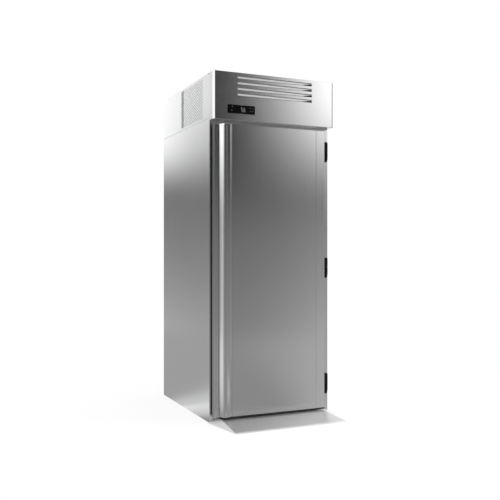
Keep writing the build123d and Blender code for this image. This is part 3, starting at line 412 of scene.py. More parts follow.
for side, side_name in sides:
    skin_plan = folded_outline(side, front_return, rear_return)
    skin = make(f"side_skin_{side_name}", prism(skin_plan, 0.0, seam - seam_gap))
    fit(skin, side_steel, "cabinet", f"side_panel_{side_name}")
seal_low = (-half_width + 0.0005, front + 0.0005, seam - 0.0035)
seal_high = (half_width - 0.0005, back - 0.0005, seam + 0.0015)
seal_width = 0.006
seal_outer = rounded(rectangle(seal_low, seal_high), 0.002)
seal_rows = [(0.0, seal_low[2]), (0.0, seal_high[2]), (seal_width, seal_high[2]), (seal_width, seal_low[2])]
seal_points = stacked([(drawn_in(seal_outer, inset), level) for inset, level in seal_rows])
fit(make("seam_seal", grid(seal_points, around=True, along=True)), seam_rubber, "cabinet")


# Back and roof: galvanised sheet, whose zinc has frozen in flat spangles. A column of rivets on each side
# holds the back to the side skins' folds.
zinc_colour = (0.6, 0.62, 0.63)
galvanised, place, feed = finish("galvanised", zinc_colour, 0.42, Metallic=0.9)
crystals = place.node("TexVoronoi", None, {"Vector": place, "Scale": 85.0}, 1)
crystal = place.node("SeparateColor", None, {0: crystals})
dull = place.noise(3.0, 4.0)
feed("Base Color", (crystal * 0.7 + dull * 0.3).mix(shade(zinc_colour, 0.82), shade(zinc_colour, 1.12)))
feed("Roughness", crystal * 0.16 + dull * 0.1 + 0.3)
carry(galvanised, "back_panel", "roof_sheet", "machine_back", "unit_base")

rivet_radius = 0.0036
rivet_rise = 0.0012
rivet_turns = np.linspace(0, tau, 13)[:-1, None]
rivet_arc = np.radians([0, 30, 60, 84])[None, :]
rivet_dome = np.stack(
    (
        rivet_radius * np.cos(rivet_turns) * np.cos(rivet_arc),
        rivet_rise * np.sin(rivet_arc) + 0 * rivet_turns,
        -rivet_radius * np.sin(rivet_turns) * np.cos(rivet_arc),
    ),
    -1,
)


def copies(shell, offsets):
    """The same skin at many places."""
    points, quads, others = shell
    offsets = np.asarray(offsets, float)
    moved = (points[None] + offsets[:, None]).reshape(-1, 3)
    starts = np.arange(len(offsets)) * len(points)
    moved_quads = (quads[None] + starts[:, None, None]).reshape(-1, 4)
    return moved, moved_quads, [other + start for start in starts for other in others]


rivet_places = [(x, back, z) for x in (-0.437, 0.437) for z in np.linspace(0.08, 1.95, 12)]
rivet_places += [(x, back, z) for x in (-0.4395, 0.4395) for z in np.linspace(2.045, 2.285, 3)]
rivets = make("back_rivets", copies(grid(rivet_dome, around=True, caps=True), rivet_places), smooth=True)
fit(rivets, side_steel, "cabinet")

# Insulation: blocks of rigid polyurethane foam, cream, cut with a wire, with fine open cells. They fill the
# walls, the floor and the door between skin and liner.
foam_colour = (0.86, 0.79, 0.58)
foam, place, feed = finish("foam", foam_colour, 0.95, Specular_IOR_Level=0.2)
cells = place.node("TexVoronoi", None, {"Vector": place, "Scale": 700.0})
feed("Base Color", place.noise(9.0, 5.0).mix(shade(foam_colour, 0.86), shade(foam_colour, 1.06)))
feed("Normal", cells.bump(0.5, 0.0006))
carry(foam, "insulation_left", "insulation_right", "insulation_back", "insulation_top")
carry(foam, "floor_core", "door_foam")

# Evaporator's box and lid: the same foam inside a thin vacuum-formed skin of cream plastic. The box stands
# on the roof, and the lid lies on it.
box_skin, place, feed = finish("box_skin", (0.8, 0.77, 0.68), 0.5)
feed("Base Color", place.noise(4.0, 3.0).mix((0.74, 0.71, 0.62, 1), (0.84, 0.81, 0.72, 1)))
feed("Roughness", place.noise(30.0, 3.0) * 0.2 + 0.4)
feed("Normal", place.noise(400.0).bump(0.2, 0.0004))
carry(box_skin, "evaporator_box", "evaporator_lid")

# Front frame: stainless posts and head round the opening, folded from sheet and brushed along their length.
# The gasket closes on them.
frame_steel = brushed_steel("frame_steel", (0.72, 0.722, 0.72), 0.24, (260, 260, 2.0))
carry(frame_steel, "frame_post_left", "frame_post_right", "frame_head")

# Inside: liner, floor pan, rear duct and the door's inner sheet, folded from a duller stainless. It is wiped
# often, and trolleys scuff the pan.
inner_steel = brushed_steel("inner_steel", (0.66, 0.67, 0.68), 0.34, (220, 220, 2.0), smudge=0.1)
carry(inner_steel, "inner_liner", "air_duct", "door_liner")
pan_steel = brushed_steel("pan_steel", (0.64, 0.645, 0.65), 0.36, (3.0, 240, 240), streak=0.06, smudge=0.16)
carry(pan_steel, "floor_pan")

# Trolley bumpers: extruded grey polyethylene with scrapes where trolleys rub. The lamp's cover is moulded in
# a milky plastic.
bumper_plastic, place, feed = finish("bumper_plastic", (0.74, 0.75, 0.76), 0.45)
scrapes = place.noise(1.0, 4.0, (90, 4.0, 160)).ramp(0.56, 0.72)
feed("Base Color", scrapes.mix((0.74, 0.75, 0.76, 1), (0.5, 0.51, 0.52, 1)))
feed("Roughness", scrapes * 0.25 + place.noise(20.0) * 0.1 + 0.36)
feed("Normal", (scrapes * -1).bump(0.3, 0.0005))
carry(bumper_plastic, "trolley_bumpers")
carry(moulded("lamp_cover", (0.92, 0.92, 0.88), 0.35, wear=0.03), "interior_light")

# Entry ramp: a hipped stainless sheet on ribs, brushed across, dulled where wheels run up its slope. Its hips
# and the lip along its nose are made matt and less metallic, so that they render pale: painted light for the
# bright reflection on them.
ramp_colour = (0.9, 0.905, 0.9)
ramp_steel, place, feed = finish("ramp_steel", ramp_colour, 0.42, Metallic=0.8)
# Hips and nose lip: less metal, so that they render pale, as painted light standing for a reflection.
painted_light_flanks = place.node("NewGeometry", None, None, 3).part(0).math("ABSOLUTE").ramp(0.12, 0.25)
painted_light_flanks = painted_light_flanks.math("MAXIMUM", (1 - place.part(1).ramp(-0.828, -0.819)) * 0.7)
ramp_streaks = place.noise(1.0, 3.0, (3.0, 260, 40))
ramp_wear = place.noise(1.0, 4.0, (22, 2.2, 2))
wheel_lane = (place.part(0).math("ABSOLUTE") - 0.26).math("ABSOLUTE").ramp(0.02, 0.1) * -1 + 1
ramp_tone = (ramp_streaks - 0.5) * 0.1 + wheel_lane * ramp_wear * 0.2 + 0.4
feed("Base Color", ramp_tone.mix(shade(ramp_colour, 1.1), shade(ramp_colour, 0.8)))
feed("Roughness", (ramp_streaks - 0.5) * 0.12 + wheel_lane * ramp_wear * 0.1 + painted_light_flanks * 0.1 + 0.38)
feed("Metallic", painted_light_flanks * -0.55 + 0.8)
feed("Normal", ramp_streaks.bump(0.08, 0.0002))
carry(ramp_steel, "entry_ramp")

# Door: a folded stainless skin over foam, brushed upright. Its field stands 3 mm proud of the border on the
# hinge side.
door_bottom, door_top = 0.043, 1.970
door_right = 0.386
door_back, door_front = -0.5195, -0.5765
border_front = door_front + 0.003
handle_right = -0.314
fold_left, fold_right = 0.316, 0.320
skin_back = door_back - 0.0006  # just ahead of the inner sheet
door_steel = brushed_steel("door_steel", (0.72, 0.725, 0.717), 0.14, (300, 300, 1.6))
door_corners = (
    (handle_right, skin_back),
    (handle_right, door_front),
    (fold_left, door_front),
    (fold_right, border_front),
    (door_right, border_front),
    (door_right, skin_back),
)
door_plan = rounded(door_corners, (0.0002, 0.0012, 0.0022, 0.0022, 0.0025, 0.0002), 6)
door_face = make("door_face", prism(door_plan, door_bottom, door_top, edge=0.0008))
fit(door_face, door_steel, "door", "door_skin")

# Handle: an extruded section over the door's whole height. A flat strip, a finger channel whose inner wall is
# a hollow cove, a sharp ridge to pull on, and a shallow groove against the panel, with pressed end caps.
handle_left = -0.433
strip_right, strip_front = -0.4018, -0.5565
cove_left, cove_front = -0.3985, -0.5495
ridge_left, ridge_right, ridge_front = -0.3745, -0.355, -0.5895
fall_right = -0.328
groove_left_front, groove_right_front = door_front + 0.0023, door_front + 0.0030  # it faces a little right
cove_bow = radians(15)  # half of the turn of the cove's face
cove_chord = np.hypot(ridge_left - cove_left, ridge_front - cove_front)
cove_middle_turn = np.arctan2(cove_front - ridge_front, ridge_left - cove_left)
cove_turns = cove_middle_turn + np.linspace(-cove_bow, cove_bow, 13)  # from the front towards the left
cove_outward = np.column_stack((-np.sin(cove_turns), -np.cos(cove_turns)))
cove = np.array((cove_left, cove_front)) + cove_chord / (2 * sin(cove_bow)) * (cove_outward[0] - cove_outward)
before_cove = (
    (handle_right, door_back),
    (handle_left, door_back),
    (handle_left, strip_front),
    (strip_right, strip_front),
    (strip_right, cove_front),
)
after_cove = (
    (ridge_left, ridge_front),
    (ridge_right, ridge_front),
    (fall_right, door_front),
    (fall_right + 0.0008, groove_left_front),
    (handle_right - 0.0018, groove_right_front),
    (handle_right, door_front),
)
handle_corners = np.concatenate((before_cove, cove[:-1], after_cove))
handle_radii = np.full(len(handle_corners), 0.00005)
handle_radii[[0, 1, 2, 3, 4]] = 0.0002, 0.0002, 0.0016, 0.0012, 0.0008
handle_radii[-6:] = 0.0014, 0.004, 0.0015, 0.0006, 0.0006, 0.0008
handle_plan = rounded(handle_corners, handle_radii, 4)
cap_height = 0.002
handle_steel = brushed_steel("handle_steel", (0.72, 0.725, 0.717), 0.17, (300, 300, 1.6))
handle_low, handle_high = door_bottom + cap_height, door_top - cap_height
handle = make("door_handle_section", prism(handle_plan, handle_low, handle_high, edge=0.0001))
fit(handle, handle_steel, "door", "door_handle")
edge_low = (handle_left - 0.0004, strip_front + 0.0012, door_bottom + 0.001)
edge_high = (handle_left + 0.0006, door_back - 0.001, door_top - 0.001)
edge_profile = make("door_edge_profile", block(edge_low, edge_high))
edge_plastic, place, feed = finish("edge_plastic", (0.1, 0.1, 0.1), 0.5)
# The edge profile is painted paler towards the floor and darker upwards: painted light and shade, with random
# streaks through it.
painted_light_low = (1 - place.part(2).ramp(0.3, 1.8)) * (place.noise(1.0, 4.0, (60, 60, 7)) * 0.5 + 0.75)
feed("Base Color", painted_light_low.mix((0.05, 0.051, 0.051, 1), (0.19, 0.19, 0.19, 1)))
feed("Roughness", painted_light_low * 0.2 + 0.42)
fit(edge_profile, edge_plastic, "door")
handle_caps = make(
    "door_handle_caps",
    prism(handle_plan, door_bottom, handle_low, edge=0.0002),
    prism(handle_plan, handle_high, door_top, edge=0.0002),
)
cap_steel = brushed_steel("cap_steel", (0.7, 0.7, 0.7), 0.3, (200, 200, 200))
fit(handle_caps, cap_steel, "door", "handle_end_caps")

# Door gasket: extruded grey magnetic rubber on three sides of the opening. Its section is a bulb with two
# folds either side of it.
gasket_width = 0.020
gasket_inner_left, gasket_inner_right, gasket_inner_top = -0.381, 0.356, 1.944
gasket_back = front + 0.0007
gasket_section = np.array(  # distance out from the opening, and depth from the door's back to the frame
    [(0.0, 0.0), (0.0, 0.25), (0.12, 0.42), (0.04, 0.6), (0.04, 0.85), (0.12, 1.0)]
    + [(0.88, 1.0), (0.96, 0.85), (0.96, 0.6), (0.88, 0.42), (1.0, 0.25), (1.0, 0.0)]
)
out, deep = (gasket_section * (gasket_width, gasket_back - door_back)).T[:, :, None]
left_x, right_x = gasket_inner_left - out, gasket_inner_right + out
foot_z, head_z = 0 * out + door_bottom, gasket_inner_top + out
gasket_x = np.concatenate((left_x, left_x, right_x, right_x), 1)
gasket_z = np.concatenate((foot_z, head_z, head_z, foot_z), 1)
gasket_points = np.stack((gasket_x, door_back + deep + 0 * gasket_x, gasket_z), -1)
gasket = make("door_gasket_bellows", grid(gasket_points, around=True, caps=True))
fit(gasket, moulded("gasket_rubber_finish", (0.1, 0.1, 0.105), 0.6), "door", "door_gasket")

# Sweep: an extruded strip of black rubber along the door's bottom edge. It wipes over the ramp's flat top
# and closes the side that the gasket leaves open.
carry(moulded("sweep_rubber_finish", (0.015, 0.015, 0.016), 0.5), "door_sweep")

# Hinges: a black moulded cover on each half. The lower half stands on the frame, the upper half turns on a
# steel pin with the door. Both have rounded outer corners where they end.
hinge_x, hinge_y = 0.405, -0.5475
hinge_radius = 0.018
hinge_half = 0.0695
hinge_split = 0.0005
hinge_black = moulded(
    "hinge_black_finish", (0.004, 0.004, 0.0045), 0.5, grain=0.06, wear=0.2, Specular_IOR_Level=0.15
)
hinge_levels = {"top": 1.827, "middle": 1.017, "bottom": 0.207}


def hinge_cover(plan, low, high, end_width, end_height, upward):
    """A cover: its plan carried up, with everything right of the pin drawn in towards one end along a quarter
    ellipse, end_width wide and end_height high, and all its edges softened at both ends."""
    height = high - low
    share = np.concatenate(([0, 0.004, 0.012], np.linspace(0.04, 0.96, 30), [0.988, 0.996, 1.0]))
    soft = 0.0016 * np.clip(1 - np.minimum(share, 1 - share) / 0.012, 0, 1) ** 2
    to_end = (1 - share if upward else share) * height
    near = np.clip(1 - to_end / end_height, 0, 1)
    limit = hinge_radius - end_width * (1 - np.sqrt(1 - near**2))
    rows = np.stack([drawn_in(plan, inset) for inset in soft], 1)
    outward = rows[:, :, 0] - hinge_x
    x = np.where(outward > 0, hinge_x + outward * (limit / hinge_radius)[None], rows[:, :, 0])
    return grid(np.stack((x, rows[:, :, 1], low + share * height + 0 * x), -1), around=True, caps=True)


def hinge_plan(start, end, steps, corners):
    """A cover's plan: an arc about the pin between two turns in degrees, and its two square corners."""
    turns = np.radians(np.linspace(start, end, steps))
    arc = np.column_stack((hinge_x + hinge_radius * np.cos(turns), hinge_y + hinge_radius * np.sin(turns)))
    return np.concatenate((arc, corners))


leaf_corners = [(door_right, hinge_y + hinge_radius), (door_right, hinge_y - hinge_radius)]
base_corners = [(hinge_x + hinge_radius, front + sheet), (hinge_x - hinge_radius, front + sheet)]
leaf_plan = hinge_plan(-90, 90, 15, leaf_corners)
base_plan = hinge_plan(180, 360, 21, base_corners)
base_end, leaf_end = (0.012, 0.034), (0.006, 0.012)  # width and height of each half's rounded corner
for level_name, level in hinge_levels.items():
    base_top, leaf_low = level - hinge_split, level + hinge_split
    base_shell = hinge_cover(base_plan, level - hinge_half - hinge_split, base_top, *base_end, False)
    leaf_shell = hinge_cover(leaf_plan, leaf_low, leaf_low + hinge_half, *leaf_end, True)
    for half_name, shell, body in (("base", base_shell, "cabinet"), ("leaf", leaf_shell, "door")):
        cover = make(f"hinge_{half_name}_cover_{level_name}", shell)
        fit(cover, hinge_black, body, f"hinge_{half_name}_{level_name}")
pin_steel = brushed_steel("pin_steel_finish", (0.6, 0.6, 0.62), 0.3, (40, 40, 400))
carry(pin_steel, "hinge_pins", "fascia_hinge_brackets")

# Machine compartment's side panels: the same sheet and folds, with a field of round holes punched in
# staggered columns over the condensing unit. A near-black strip behind the rearmost ones makes them look dark:
# painted shade for the dark inside seen through them.
hole_radius, wide_radius, wide_columns = 0.0056, 0.0083, 3  # the rearmost columns are punched wider
hole_columns, hole_rows = 26, 13
column_pitch, row_pitch = 0.01732, 0.02064
field_front, field_low = -0.3797, 2.0232
field_back = field_front + hole_columns * column_pitch
field_high = field_low + (hole_rows + 0.5) * row_pitch
panel_low = seam + 0.0014
across = np.linspace(-0.5, 0.5, 7)
cell_edge = np.array(
    [(0.5, 0.0), (0.5, 0.5)]
    + [(u, 0.5) for u in across[5:0:-1]]
    + [(-0.5, 0.5), (-0.5, 0.0), (-0.5, -0.5)]
    + [(u, -0.5) for u in across[1:6]]
    + [(0.5, -0.5)]
) * (column_pitch, row_pitch)
hole_turns = np.arange(16) * tau / 16
hole_circle = np.column_stack((np.cos(hole_turns), np.sin(hole_turns)))
column, row = np.meshgrid(np.arange(hole_columns), np.arange(hole_rows), indexing="ij")
cell_middles = np.stack(
    (
        field_front + (column + 0.5) * column_pitch,
        field_low + (row + 0.5 + 0.5 * (column % 2)) * row_pitch,
    ),
    -1,
).reshape(-1, 2)
cell_places = np.column_stack((np.zeros(len(cell_middles)), cell_middles))
narrow_count = (hole_columns - wide_columns) * hole_rows
holes_shells = []
for radius, places in ((hole_radius, cell_places[:narrow_count]), (wide_radius, cell_places[narrow_count:])):
    hole_cell = np.stack((cell_edge, radius * hole_circle), 1)
    cell_shell = grid(np.concatenate((np.zeros((16, 2, 1)), hole_cell), -1), around=True)
    holes_shells.append(copies(cell_shell, places))
column_ends = field_front + np.arange(hole_columns) * column_pitch
filler_y = column_ends[:, None] + (across + 0.5) * column_pitch
filler_foot = np.where(np.arange(hole_columns) % 2 == 0, field_high - row_pitch / 2, field_low)
filler_low = filler_foot[:, None] + 0 * filler_y
filler_z = np.stack((filler_low, filler_low + row_pitch / 2))
filler = np.stack((0 * filler_z, np.stack((filler_y,) * 2), filler_z), -1)
filler_shells = [grid(filler[:, index].transpose(1, 0, 2)) for index in range(hole_columns)]
field_y = np.unique(np.round(filler_y, 7))
field_z = field_low + np.arange(2 * hole_rows + 2) * row_pitch / 2
strips = [
    grid(np.stack(np.broadcast_arrays(0.0, field_y[:, None], np.array(span)[None]), -1))
    for span in ((panel_low, field_low), (field_high, top))
]
upright_z = np.concatenate(([panel_low], field_z, [top]))
fold_turns = np.radians(np.linspace(0, 90, 6))
fold_width = 0.015
notch_length, notch_depth = 0.030, 0.0075  # cut from the front upper corner, so that the fascia can turn
front_plan = np.concatenate(
    (
        [(fold_width, front)],
        np.column_stack((bend - bend * np.sin(fold_turns), front + bend - bend * np.cos(fold_turns))),
        [(0.0, front + notch_length), (0.0, front + notch_length + 0.006), (0.0, field_front)],
    )
)
rear_plan = np.concatenate(
    (
        [(0.0, field_back)],
        np.column_stack((bend - bend * np.cos(fold_turns), back - bend + bend * np.sin(fold_turns))),
        [(fold_width, back)],
    )
)
plain = [
    grid(np.stack(np.broadcast_arrays(plan[:, None, 0], plan[:, None, 1], upright_z[None]), -1))
    for plan in (front_plan, rear_plan)
]


def welded(shells):
    """Skins joined into one, places closer than a hundredth of a millimetre becoming the same."""
    starts = np.cumsum([0] + [len(shell[0]) for shell in shells])
    points = np.concatenate([shell[0] for shell in shells])
    quads = np.concatenate([shell[1] + start for shell, start in zip(shells, starts)])
    hundredths = np.round(points / 1e-5).astype(int)
    _, first, where = np.unique(hundredths, axis=0, return_index=True, return_inverse=True)
    return points[first], where.reshape(-1)[quads], []


panel_points, panel_quads, _ = welded([*holes_shells, *filler_shells, *strips, *plain])
for side, side_name in sides:
    placed = panel_points.copy()
    notched = (placed[:, 1] < front + notch_length + 0.0001) & (placed[:, 2] > top - 0.0001)
    placed[notched, 2] -= notch_depth
    placed[:, 0] = side * (half_width - placed[:, 0])
    corner = placed[panel_quads]
    facing = np.cross(corner[:, 1] - corner[:, 0], corner[:, 2] - corner[:, 0])
    on_side = np.abs(facing[:, 0]) > np.abs(facing[:, 1])
    outwards = np.where(on_side, facing[:, 0] * side, facing[:, 1] * np.sign(corner[:, 0, 1]))
    outer_quads = np.where(outwards[:, None] < 0, panel_quads[:, ::-1], panel_quads)
    panel = make(f"vented_side_{side_name}", (placed, outer_quads, []))
    thickness = panel.modifiers.new("thickness", "SOLIDIFY")
    thickness.thickness = sheet
    thickness.offset = -1
    fit(panel, side_steel, "cabinet", f"machine_side_{side_name}")

# Pads: a moulded block of black rubber inside each notch. The fascia's sides rest on them when it is shut,
# which keeps sheet from ringing on sheet.
pad_rubber = moulded("pad_rubber", (0.02, 0.02, 0.021), 0.7)
pad_outer, pad_inner = half_width - 0.0012, half_width - 0.0035
pad_y, pad_z = (front + 0.0015, front + 0.029), (top - 0.024, top - 0.0005)
pad_shells = [
    block((side * pad_outer, pad_y[0], pad_z[0]), (side * pad_inner, pad_y[1], pad_z[1]), 0.001)
    for side in (-1, 1)
]
fit(make("fascia_pads", *pad_shells), pad_rubber, "cabinet")

# Dust screens: behind each field of holes a woven grey gauze keeps fluff out. A near-black strip clamps
# it along its rear edge, behind the rearmost holes: painted shade for the dark inside seen through them.
gauze, place, feed = finish("gauze", (0.5, 0.51, 0.52), 0.8)
gauze_threads = (place.part(1) * 2600).math("SINE") * (place.part(2) * 2600).math("SINE")
feed("Base Color", gauze_threads.mix((0.54, 0.55, 0.56, 1), (0.4, 0.41, 0.42, 1)))
feed("Normal", gauze_threads.bump(0.4, 0.0003))
strip_start = field_back - 0.047
screen_low, screen_high = field_low + 0.002, field_high - 0.002
# Near-black, to paint the shade that is seen through the rearmost holes.
painted_shade_black = moulded("painted_shade_black", (0.012, 0.012, 0.013), 0.6, Specular_IOR_Level=0.2)
for side, side_name in sides:
    outer_x, inner_x, shade_strip_x = (side * (half_width - depth) for depth in (0.0022, 0.003, 0.006))
    screen_shell = block(
        (outer_x, field_front, screen_low), (inner_x, strip_start, screen_high), 0.0002, edge=0.0002
    )
    shade_strip_shell = block((outer_x, strip_start, screen_low), (shade_strip_x, field_back + 0.006, screen_high))
    fit(make(f"dust_screen_{side_name}", screen_shell), gauze, "cabinet")
    fit(make(f"painted_shade_strip_{side_name}", shade_strip_shell), painted_shade_black, "cabinet")

# Fascia: one stainless sheet folded into a tray with clipped corners, brushed across, with four slots and a
# cutout for the controller. It hangs on two ears at the top and lifts for service.
fascia_half, fascia_face, fascia_rear = 0.450, -0.5855, -0.5095
fascia_low = 1.996
fascia_clip = 0.012
fascia_sheet = 0.0012
fascia_bend = 0.002
top_return = -0.5275
slot_half, slot_height = 0.2775, 0.0205
slot_levels = np.array((2.1674, 2.2051, 2.2428, 2.2805))
cutout_x, cutout_z = (-0.344, -0.159), (2.046, 2.091)
fascia_corners = (
    (-fascia_half, fascia_rear),
    (-fascia_half, fascia_face + fascia_clip),
    (-fascia_half + fascia_clip, fascia_face),
    (fascia_half - fascia_clip, fascia_face),
    (fascia_half, fascia_face + fascia_clip),
    (fascia_half, fascia_rear),
)
fascia_arcs = rounded(fascia_corners, 0.0025, 6).reshape(6, 7, 2)
cut_lines = sorted((*cutout_x, -slot_half, slot_half))
fascia_plan = np.concatenate(
    (
        [(-fascia_half, fascia_rear), (-fascia_half, top_return)],
        *fascia_arcs[1:3],
        [(x, fascia_face) for x in cut_lines],
        *fascia_arcs[3:5],
        [(fascia_half, top_return), (fascia_half, fascia_rear)],
    )
)
fascia_mitre = mitres(fascia_plan, closed=False)
bend_turns = np.radians(np.linspace(0, 90, 6))
slot_lines = np.sort(np.concatenate((slot_levels - slot_height / 2, slot_levels + slot_height / 2, cutout_z)))
fascia_rows = (
    [(fascia_bend * (1 - sin(a)), fascia_low + fascia_bend * (1 - cos(a))) for a in bend_turns]
    + [(0.0, level) for level in slot_lines]
    + [(fascia_bend * (1 - cos(a)), top - fascia_bend * (1 - sin(a))) for a in bend_turns]
)
fascia_points = stacked([(fascia_plan - inset * fascia_mitre, level) for inset, level in fascia_rows])
fascia_skin, fascia_quads, _ = grid(fascia_points)
quad_middle = fascia_skin[fascia_quads].mean(1)
on_face = quad_middle[:, 1] < fascia_face + 0.0001
at_slot_level = (np.abs(quad_middle[:, 2, None] - slot_levels) < slot_height / 2).any(1)
in_slot = (np.abs(quad_middle[:, 0]) < slot_half) & at_slot_level
in_cutout = (
    (quad_middle[:, 0] > cutout_x[0])
    & (quad_middle[:, 0] < cutout_x[1])
    & (quad_middle[:, 2] > cutout_z[0])
    & (quad_middle[:, 2] < cutout_z[1])
)
fascia_quads = fascia_quads[~(on_face & (in_slot | in_cutout))]
stations, levels = fascia_points.shape[:2]
low_ring = np.arange(stations)[::-1] * levels
high_ring = np.arange(1, stations - 1) * levels + levels - 1
fascia = make("fascia_sheet", (fascia_skin, fascia_quads, [low_ring, high_ring]))
thickness = fascia.modifiers.new("thickness", "SOLIDIFY")
thickness.thickness = fascia_sheet
thickness.offset = -1
thickness.use_even_offset = True
fascia_steel = brushed_steel("fascia_steel", (0.72, 0.725, 0.72), 0.17, (1.6, 300, 300))
fit(fascia, fascia_steel, "fascia", "fascia_panel")
pin_y, pin_z, ear_radius = -0.5175, 2.302, 0.0065
ear_corners = (
    (pin_y + ear_radius, pin_z - ear_radius),
    (pin_y + ear_radius, pin_z + ear_radius),
    (top_return, top - fascia_sheet / 2),
    (top_return - 0.024, top - fascia_sheet / 2),
    (pin_y - ear_radius, pin_z - ear_radius),
)
ear_plan = rounded(ear_corners, (0.006, 0.005, 0.0002, 0.0002, 0.003), 5)
ear_middle, ear_half = 0.44, 0.0015
ear_shells = [
    prism(ear_plan, side * ear_middle - ear_half, side * ear_middle + ear_half, "X") for side in (-1, 1)
]
fit(make("fascia_ears", *ear_shells), fascia_steel, "fascia")

# Louvres: a folded blade behind each slot. Its face leans back to the slot's upper edge and catches the light
# from above; its lower edge is hemmed, and air passes under it. Towards its right end the hem is sheared off.
blade_half = slot_half + 0.006
blade_line = np.array(  # depth behind the sheet's face, and height over the slot's middle
    [(0.0012, 0.0185), (0.0012, 0.0112), (0.0062, 0.0107)]
    + [(0.0004, -0.0072), (0.0015, -0.0084), (0.0062, -0.006)]
)
blade_sheet = 0.0008
blade_back = blade_line - blade_sheet * mitres(blade_line, closed=False)
blade_outline = np.concatenate((blade_line, blade_back[::-1]))
lift_start = slot_half - 0.075
blade_x = np.array([-blade_half, lift_start, slot_half - 0.05, slot_half - 0.025, blade_half])[None, :]
hang = np.clip((0.0107 - blade_outline[:, 1:]) / 0.0191, 0, 1)  # 0 at the upper fold and 1 at the hem
lifted = blade_outline[:, 1:] + hang * 0.0125 * np.clip((blade_x - lift_start) / 0.075, 0, 1)
blade_points = np.stack((blade_x + 0 * lifted, fascia_face + blade_outline[:, :1] + 0 * lifted, lifted), -1)
blade_shells = [grid(blade_points + (0.0, 0.0, level), around=True, caps=True) for level in slot_levels]
blades = make("louvre_blade_set", *blade_shells)
blade_steel = brushed_steel("blade_steel_finish", (0.72, 0.725, 0.72), 0.24, (2.0, 300, 300))
fit(blades, blade_steel, "fascia", "louvre_blades")

# Filter: a mat cut from open black foam, behind the louvres. It is held to the fascia, so it lifts away
# with it.
filter_front = fascia_face + 0.0095
filter_low = (-slot_half - 0.012, filter_front, 2.137)
filter_high = (slot_half + 0.012, filter_front + 0.009, 2.304)
filter_mat = make("louvre_filter", block(filter_low, filter_high, 0.003, "Y", 0.001))
filter_black = moulded("filter_foam", (0.02, 0.02, 0.021), 0.95, grain=0.9, scale=500.0, Specular_IOR_Level=0.1)
fit(filter_mat, filter_black, "fascia")

# Controller: a black acrylic plate, printed behind, on a box that plugs into the cutout. Its two digits and
# the small touch marks round them glow through it.
plate_x, plate_z = (-0.350, -0.153), (2.040, 2.097)
plate_face = fascia_face - 0.002
plate_corners = [(z, x) for z, x in zip(np.repeat(plate_z, 2), (*plate_x, *plate_x[::-1]))]
housing_gap, housing_depth = 0.0004, 0.042
housing_low = (cutout_x[0] + housing_gap, fascia_face, cutout_z[0] + housing_gap)
housing_high = (cutout_x[1] - housing_gap, fascia_face + housing_depth, cutout_z[1] - housing_gap)
controller = make(
    "controller_plate",
    prism(rounded(plate_corners, 0.003), plate_face, fascia_face, "Y", 0.0006),
    block(housing_low, housing_high),
)
controller_gloss, place, feed = finish(
    "controller_gloss_finish", (0.0025, 0.0025, 0.003), 0.1, Specular_IOR_Level=0.25
)
feed("Roughness", place.noise(40.0, 4.0).ramp(0.45, 0.75) * 0.12 + 0.07)
feed("Base Color", place.noise(25.0, 3.0).mix((0.0015, 0.0015, 0.002, 1), (0.0035, 0.0035, 0.004, 1)))
fit(controller, controller_gloss, "fascia", "controller_panel")

segment_width = 0.0032
segment_gap = 0.0008  # left at each end of a bar
digit_size = (0.0105, 0.0245)
mark_front, mark_back = plate_face - 0.00015, plate_face + 0.0004
segment_places = {  # of each segment: its two ends, as shares of the digit's width and height
    "a": ((0, 1), (1, 1)),
    "b": ((1, 1), (1, 0.5)),
    "c": ((1, 0.5), (1, 0)),
    "d": ((0, 0), (1, 0)),
    "e": ((0, 0.5), (0, 0)),
    "f": ((0, 1), (0, 0.5)),
    "g": ((0, 0.5), (1, 0.5)),
}


def segment(digit_x, digit_z, ends):
    """A bar of a digit: a long hexagon between its two ends."""
    start, end = np.array(ends) * digit_size + (digit_x, digit_z)
    along = (end - start) / np.linalg.norm(end - start)
    sideways = np.array((-along[1], along[0])) * segment_width / 2
    start, end = start + along * segment_gap, end - along * segment_gap
    tip = along * segment_width / 2
    upper = (start + tip + sideways, end - tip + sideways)
    lower = (end - tip - sideways, start + tip - sideways)
    hexagon = np.array((start, *upper, end, *lower))
    return prism(hexagon[:, ::-1], mark_front, mark_back, "Y", 0.0001)


def mark(x, z, width, height):
    """A small upright or level bar printed on the plate."""
    low, high = (x - width / 2, mark_front, z - height / 2), (x + width / 2, mark_back, z + height / 2)
    return block(low, high, 0.0008, "Y", 0.0001)


digit_low = 2.0545
digits = ((-0.2533, "afgcd"), (-0.2353, "afgcde"))
lit = [segment(x, digit_low, segment_places[key]) for x, keys in digits for key in keys]
marks = [(-0.3162, 2.0829, 0.005, 0.003), (-0.3195, 2.0592, 0.005, 0.003), (-0.251, 2.0925, 0.003, 0.003)]
marks += [(x, z, 0.0036, 0.0036) for x in (-0.1875, -0.1675) for z in (2.0802, 2.0603)]
display = make("controller_digits", *lit, *[mark(*sizes) for sizes in marks])
display_glow, place, feed = finish("display_glow", (0.1, 0.1, 0.1), 0.4, Emission_Strength=1.0)
feed("Emission Color", place.noise(90.0).mix((0.12, 0.13, 0.135, 1), (0.18, 0.19, 0.195, 1)))
fit(display, display_glow, "fascia")


# Evaporator fan: a black moulded fan in the roof opening, on the shaft of a small motor. A steel strap across
# the opening holds the motor over it.
def turned(profile, middle, axis="Z", sides=36):
    """A turned solid: each place of the profile, a radius and a distance along the axis, goes once round."""
    radius, along = np.array(profile, float).T[:, None, :]
    angle = np.linspace(0, tau, sides + 1)[:-1, None]
    flat = np.stack((radius * np.cos(angle), radius * np.sin(angle), along + 0 * angle), -1)
    return grid(aim(flat, axis) + np.array(middle), around=True, caps=True)


